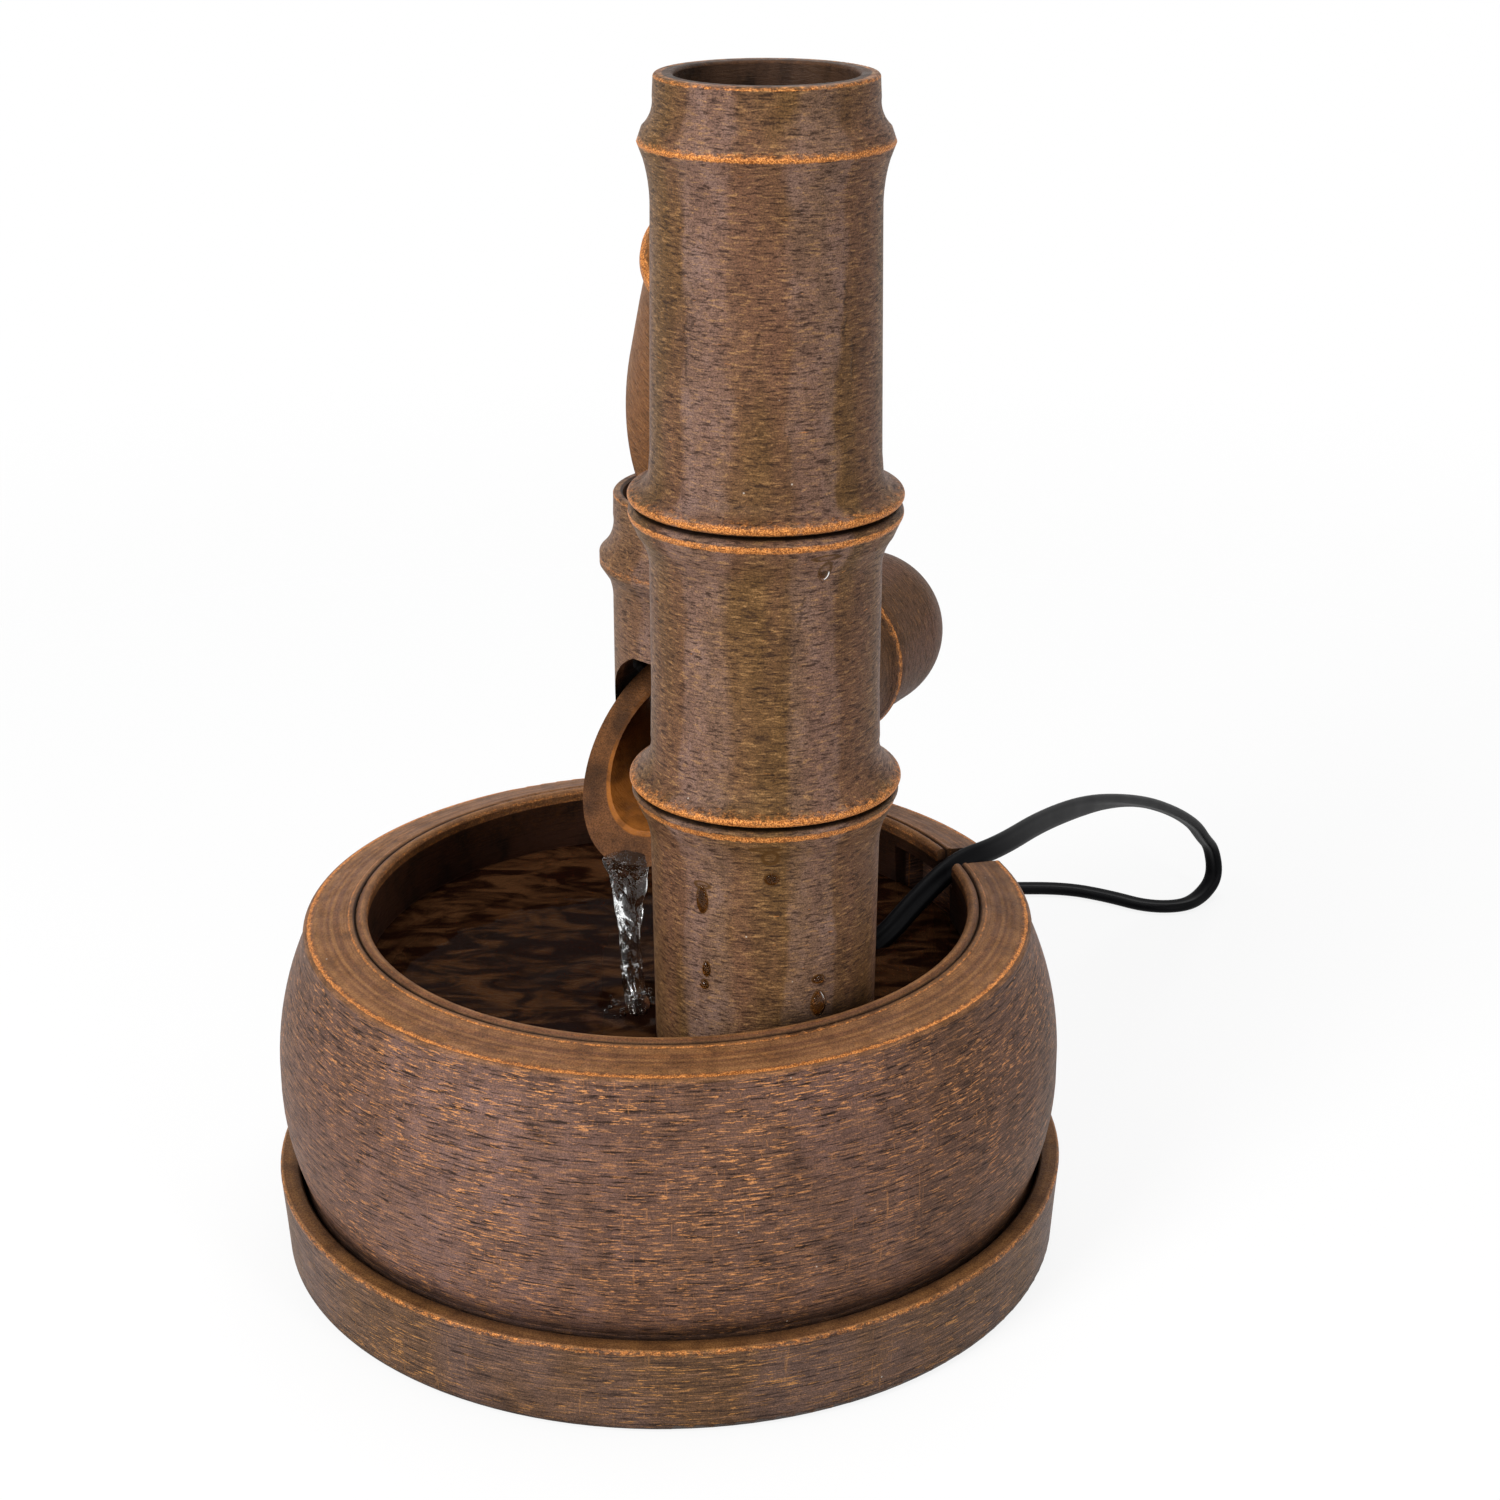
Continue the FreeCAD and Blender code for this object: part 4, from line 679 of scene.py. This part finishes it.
# Extruded clear vinyl hose, from the pump up inside the column. In the dark there it reads as dull and milky, so it
# is drawn opaque.
HOSE_SIDES = 24
HOSE_RADII = (5.0 * MM, 3.5 * MM)
hose_line = route_line("hose_route", [
    (22.55, -4.0, 30.0), (22.55, -14.0, 30.0), (22.55, -37.08, 30.0), (22.55, -37.08, 56.0), (22.55, -37.08, 90.0),
    (22.55, -37.08, 213.0)])
angles = [2 * math.pi * k / HOSE_SIDES for k in range(HOSE_SIDES)]
ring = [(math.cos(a), math.sin(a)) for a in angles]
hose_frames = carried_frames(hose_line, Vector((1, 0, 0)))
mesh = bmesh.new()
shells = []
for radius in HOSE_RADII:
    rows = []
    for at, along, wide in zip(hose_line, tangents(hose_line), hose_frames):
        thin = along.cross(wide)
        rows.append([mesh.verts.new(at + (wide * u + thin * v) * radius) for u, v in ring])
    shells.append(rows)
for rows in shells:
    join_rings(mesh, rows)
for end in (0, -1):
    join_rings(mesh, [rows[end] for rows in shells])
hose = finish_mesh("riser_hose", mesh)
hose.data.materials.append(moulded("clear_vinyl_hose", "#b9b3a4", 0.22, 1.0, 0.00002, "#8f8570"))
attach(hose, "fountain")
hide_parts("hose")


# Water standing in the basin, up to its level, with small rings where the fall meets it
FALL_MM = (-6.6, -25.6)
POOL_FOOT_MM = 13.5             # just inside the basin's floor
POOL_R_MM = 71.6
POOL_FOOT_R_MM = 70.9
POOL_RINGS = 72
POOL_SIDES = 144


def water_height(x, y):
    """Level in millimetres: slow swell, and rings about the fall."""
    d = math.hypot(x - FALL_MM[0], y - FALL_MM[1])
    swell = noise.noise(Vector((x / 23, y / 31, 4.2))) * 0.35 + noise.noise(Vector((x / 9, y / 14, 1.7))) * 0.16
    rings = 0.55 * math.exp(-d / 12) * math.cos(d / 1.9) + 0.15 * math.exp(-d / 40) * math.cos(d / 3.1)
    return WATER_MM + swell + rings


mesh = bmesh.new()
rows = []
for k in range(1, POOL_RINGS + 1):
    share = k / POOL_RINGS
    row = []
    for n in range(POOL_SIDES):
        a = 2 * math.pi * n / POOL_SIDES
        r = POOL_R_MM * share
        x, y = r * math.cos(a), r * math.sin(a)
        row.append(mesh.verts.new(Vector((x, y, water_height(x, y))) * MM))
    rows.append(row)
middle = mesh.verts.new(Vector((0, 0, water_height(0, 0))) * MM)
for n in range(POOL_SIDES):
    mesh.faces.new((middle, rows[0][n], rows[0][(n + 1) % POOL_SIDES]))
foot = []
for n in range(POOL_SIDES):
    a = 2 * math.pi * n / POOL_SIDES
    at = Vector((POOL_FOOT_R_MM * math.cos(a), POOL_FOOT_R_MM * math.sin(a), POOL_FOOT_MM))
    foot.append(mesh.verts.new(at * MM))
rows.append(foot)
for a, b in zip(rows, rows[1:]):
    for n in range(POOL_SIDES):
        mesh.faces.new((a[n], b[n], b[(n + 1) % POOL_SIDES], a[(n + 1) % POOL_SIDES]))
mesh.faces.new(foot)
pool = finish_mesh("pool_water", mesh)
pool.data.materials.append(water_still)
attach(pool, "fountain")


FALL_SIDES = 20
FALL_STEPS = 40
FALL_SEED = 3
FALL_WIDTHS_MM = (6.4, 4.5, 6.4)    # half widths at the lip, where it is drawn together, and at the pool
NARROWS_BY = 1 / 1.6                # shares of the way down
SPREADS_FROM = 0.7
FALL_SWAY_MM = 1.2
FLATNESS = 0.42


def fall(name, start, end):
    """Falling water: a twisted sheet that draws together and breaks up at the pool."""
    mesh = bmesh.new()
    rows = []
    phase = random.Random(FALL_SEED).uniform(0, 6)
    lip, waist, splash = FALL_WIDTHS_MM
    for k in range(FALL_STEPS + 1):
        t = k / FALL_STEPS
        at = Vector(start).lerp(Vector(end), t)
        # The throw carries the water out at first and then it falls
        at.z = start[2] + (end[2] - start[2]) * (0.35 * t + 0.65 * t * t)
        at.x += FALL_SWAY_MM * math.sin(5.0 * t + phase) * t
        w = lip + (waist - lip) * min(1, t / NARROWS_BY)
        if t > SPREADS_FROM:
            w += (splash - waist) * (t - SPREADS_FROM) / (1 - SPREADS_FROM)
        twist = 0.5 + 1.1 * t
        row = []
        for n in range(FALL_SIDES):
            a = 2 * math.pi * n / FALL_SIDES
            u = math.cos(a) * w * (1 + 0.18 * noise.noise(Vector((n * 0.7, t * 9 + FALL_SEED, 0.3))))
            v = math.sin(a) * w * FLATNESS * (1 + 0.5 * noise.noise(Vector((n * 0.9, t * 12 + FALL_SEED, 5.1))))
            x = u * math.cos(twist) - v * math.sin(twist)
            y = u * math.sin(twist) + v * math.cos(twist)
            row.append(mesh.verts.new(Vector((at.x + x, at.y + y, at.z)) * MM))
        rows.append(row)
    join_rings(mesh, rows)
    close_ends(mesh, rows)
    made = finish_mesh(name, mesh)
    rounded = made.modifiers.new("smooth", "SUBSURF")
    rounded.levels = rounded.render_levels = 1
    made.data.materials.append(water_fall)
    return made


# The tipper's lip, out from the pivot and below it
LIP_OUT_MM = 42.0
LIP_DROP_MM = 19.0
tail_way = Vector((math.cos(TIPPER_AZ), math.sin(TIPPER_AZ), 0))
LIP_MM = Vector(PIVOT_MM) - tail_way * LIP_OUT_MM - Vector((0, 0, LIP_DROP_MM))
stream = fall("tipper_fall", tuple(LIP_MM), (*FALL_MM, WATER_MM - 0.6))
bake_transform(stream)


# Bubbles where the fall meets the pool
BUBBLES = 46
BUBBLES_SEED = 11
BUBBLES_REACH_MM = 8.5
BUBBLE_MM = (0.35, 1.25)
mesh = bmesh.new()
rng = random.Random(BUBBLES_SEED)
for k in range(BUBBLES):
    a = rng.uniform(0, 2 * math.pi)
    r = BUBBLES_REACH_MM * rng.random() ** 0.7
    size = rng.uniform(*BUBBLE_MM) * (1.15 - r / 14)
    x = FALL_MM[0] + r * math.cos(a)
    y = FALL_MM[1] + r * math.sin(a)
    for v in bmesh.ops.create_icosphere(mesh, subdivisions=2, radius=size)["verts"]:
        v.co = (Vector((x, y, water_height(x, y) + 0.25 * size)) + v.co) * MM
foam = finish_mesh("splash_bubbles", mesh)
foam.data.materials.append(water_fall)
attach(foam, "fountain")


BEAD_TAPER = 0.45
BEAD_DEPTH_MM = 0.7
LOWER_WALL_MM = 24.85
MIDDLE_WALL_MM = 25.2


def drops(name, places, wall, body):
    """Flat beads of water that hang on an upright round wall, narrower at the top."""
    mesh = bmesh.new()
    for azimuth, z, wide, long in places:
        a = math.radians(azimuth)
        out = Vector((math.cos(a), math.sin(a), 0))
        side = Vector((-math.sin(a), math.cos(a), 0))
        at = Vector((*COLUMN_MM, z)) + out * wall
        for v in bmesh.ops.create_icosphere(mesh, subdivisions=3, radius=1.0)["verts"]:
            p = v.co.copy()
            drop = 1.0 - BEAD_TAPER * max(p.z, 0.0)
            v.co = (at + side * p.x * wide * drop + out * p.y * BEAD_DEPTH_MM * drop
                    + Vector((0, 0, p.z * long))) * MM
    made = finish_mesh(name, mesh)
    made.data.materials.append(water_drop)
    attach(made, body)


drops("beads_on_foot", DROPS_LOW, LOWER_WALL_MM, "fountain")
drops("beads_on_middle", DROPS_MIDDLE, MIDDLE_WALL_MM, "middle")


# The stem's wall comes down to the tipper on either side of it, in a low arch
STEM_WALL_MM = (24.9, 20.5)     # radii of its faces
SLOT_ROOF_MM = 136.638
SLOT_HALF_MM = 21.78
ARCH_OPEN_MM = 7.0              # the arch meets the slot's roof this far from the middle
ARCH_R_MM = 22.0
ARCH_RISE_MM = 2.0              # pivot to the arch's centre
SEAM_MM = 0.02
CHEEK_COLUMNS = 24
CHEEK_ROWS = 6


def stem_cheeks():
    """Four pieces of wall: either side of the tipper, at its mouth and at its tail."""
    mesh = bmesh.new()
    rise = range(CHEEK_ROWS + 1)
    outline = [(STEM_WALL_MM[0], n) for n in rise] + [(STEM_WALL_MM[1], n) for n in reversed(rise)]
    for turn in (0.0, math.pi):
        for hand in (-1, 1):
            rows = []
            for k in range(CHEEK_COLUMNS + 1):
                lateral = ARCH_OPEN_MM + (SLOT_HALF_MM - ARCH_OPEN_MM) * k / CHEEK_COLUMNS
                low = PIVOT_MM[2] + ARCH_RISE_MM + math.sqrt(ARCH_R_MM ** 2 - lateral ** 2)
                low = min(low, SLOT_ROOF_MM - SEAM_MM)
                row = []
                for r, n in outline:
                    z = low + (SLOT_ROOF_MM + SEAM_MM - low) * n / CHEEK_ROWS
                    back = math.sqrt(max(r ** 2 - lateral ** 2, 1.0))
                    a = TIPPER_AZ + turn
                    x = STEM_MM[0] + back * math.cos(a) - hand * lateral * math.sin(a)
                    y = STEM_MM[1] + back * math.sin(a) + hand * lateral * math.cos(a)
                    row.append(mesh.verts.new(Vector((x, y, z)) * MM))
                rows.append(row)
            join_rings(mesh, rows)
            close_ends(mesh, rows)
    return finish_mesh("stem_cheeks", mesh, False)


cheeks = stem_cheeks()
cheeks.data.materials.append(materials["rear_stem"])
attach(cheeks, "middle")


# Pale floor that fades out far from the object, white world behind it
FLOOR_R = 3.0
FLOOR_FADE_MM = (330.0, 900.0)
FLOOR_GLOW = 0.86               # share of pure white in the floor that the eye sees
AMBIENT = 0.34                  # strength of the world's light on the object
WHITE = colour("#ffffff")


def white_rays(tree):
    """One where a ray sees the background: straight, mirrored or through clear water."""
    ray = add(tree, "LightPath").outputs
    seen = add(tree, "Math", (ray["Is Camera Ray"], ray["Is Glossy Ray"]), **LARGER)
    return add(tree, "Math", (seen, ray["Is Transmission Ray"]), **LARGER)


def round_floor():
    """Matt painted floor that fades out where the picture ends."""
    mesh = bmesh.new()
    bmesh.ops.create_circle(mesh, cap_ends=True, segments=128, radius=FLOOR_R)
    made = finish_mesh("studio_floor", mesh, False)
    finish, tree = new_material("painted_floor")
    paint = add(tree, "BsdfPrincipled", {
        "Base Color": colour("#f2f2f2"), "Roughness": 0.8, "Specular IOR Level": 0.2})
    # The white that the eye sees: it only lightens the paint, so that the shadow stays
    glow = add(tree, "Emission", {"Color": WHITE, "Strength": 1.0})
    seen = add(tree, "Math", (white_rays(tree), FLOOR_GLOW), **TIMES)
    lit = add(tree, "MixShader", (seen, paint, glow))
    length = add(tree, "VectorMath", (local_place(tree),), **LENGTH)
    away = add(tree, "MapRange", (length, *FLOOR_FADE_MM), **EASED)
    both = add(tree, "MixShader", (away, lit, add(tree, "BsdfTransparent")))
    add(tree, "OutputMaterial", {"Surface": both})
    made.data.materials.append(finish)
    return made


floor = round_floor()

world = bpy.data.worlds.new("white_studio")
bpy.context.scene.world = world
world.use_nodes = True
tree = world.node_tree
tree.nodes.clear()
soft = add(tree, "Background", {"Color": WHITE, "Strength": AMBIENT})
white = add(tree, "Background", {"Color": WHITE, "Strength": 1.0})
add(tree, "OutputWorld", {"Surface": add(tree, "MixShader", (white_rays(tree), soft, white))})


def lamp(name, at, target, size, watts):
    """Softbox that faces a point."""
    light = bpy.data.lights.new(name, "AREA")
    light.shape = "RECTANGLE"
    light.size, light.size_y = size
    light.energy = watts
    made = bpy.data.objects.new(name, light)
    made.location = at
    made.rotation_euler = (Vector(target) - Vector(at)).to_track_quat("-Z", "Y").to_euler()
    bpy.context.collection.objects.link(made)


lamp("key_softbox", (-0.85, -1.05, 0.95), (0, 0, 0.12), (0.5, 1.2), 25.0)
lamp("strip_softbox", (0.85, -1.05, 0.8), (0, 0, 0.12), (0.25, 1.2), 5.5)
lamp("top_softbox", (0.25, 0.35, 1.7), (0, 0, 0.1), (1.0, 1.0), 10.0)

# The photograph's view: from the front and a little above
VIEW_DOWN = 21.5
camera = bpy.data.objects.new("camera", bpy.data.cameras.new("camera"))
camera.data.sensor_width = 36.0
camera.data.lens = 64.8
camera.data.clip_start = 0.01
camera.location = (0.01925, -0.5796, 0.350)
camera.rotation_euler = (math.radians(90.0 - VIEW_DOWN), 0, 0)
bpy.context.collection.objects.link(camera)
bpy.context.scene.camera = camera
bpy.context.scene.view_settings.view_transform = "Standard"
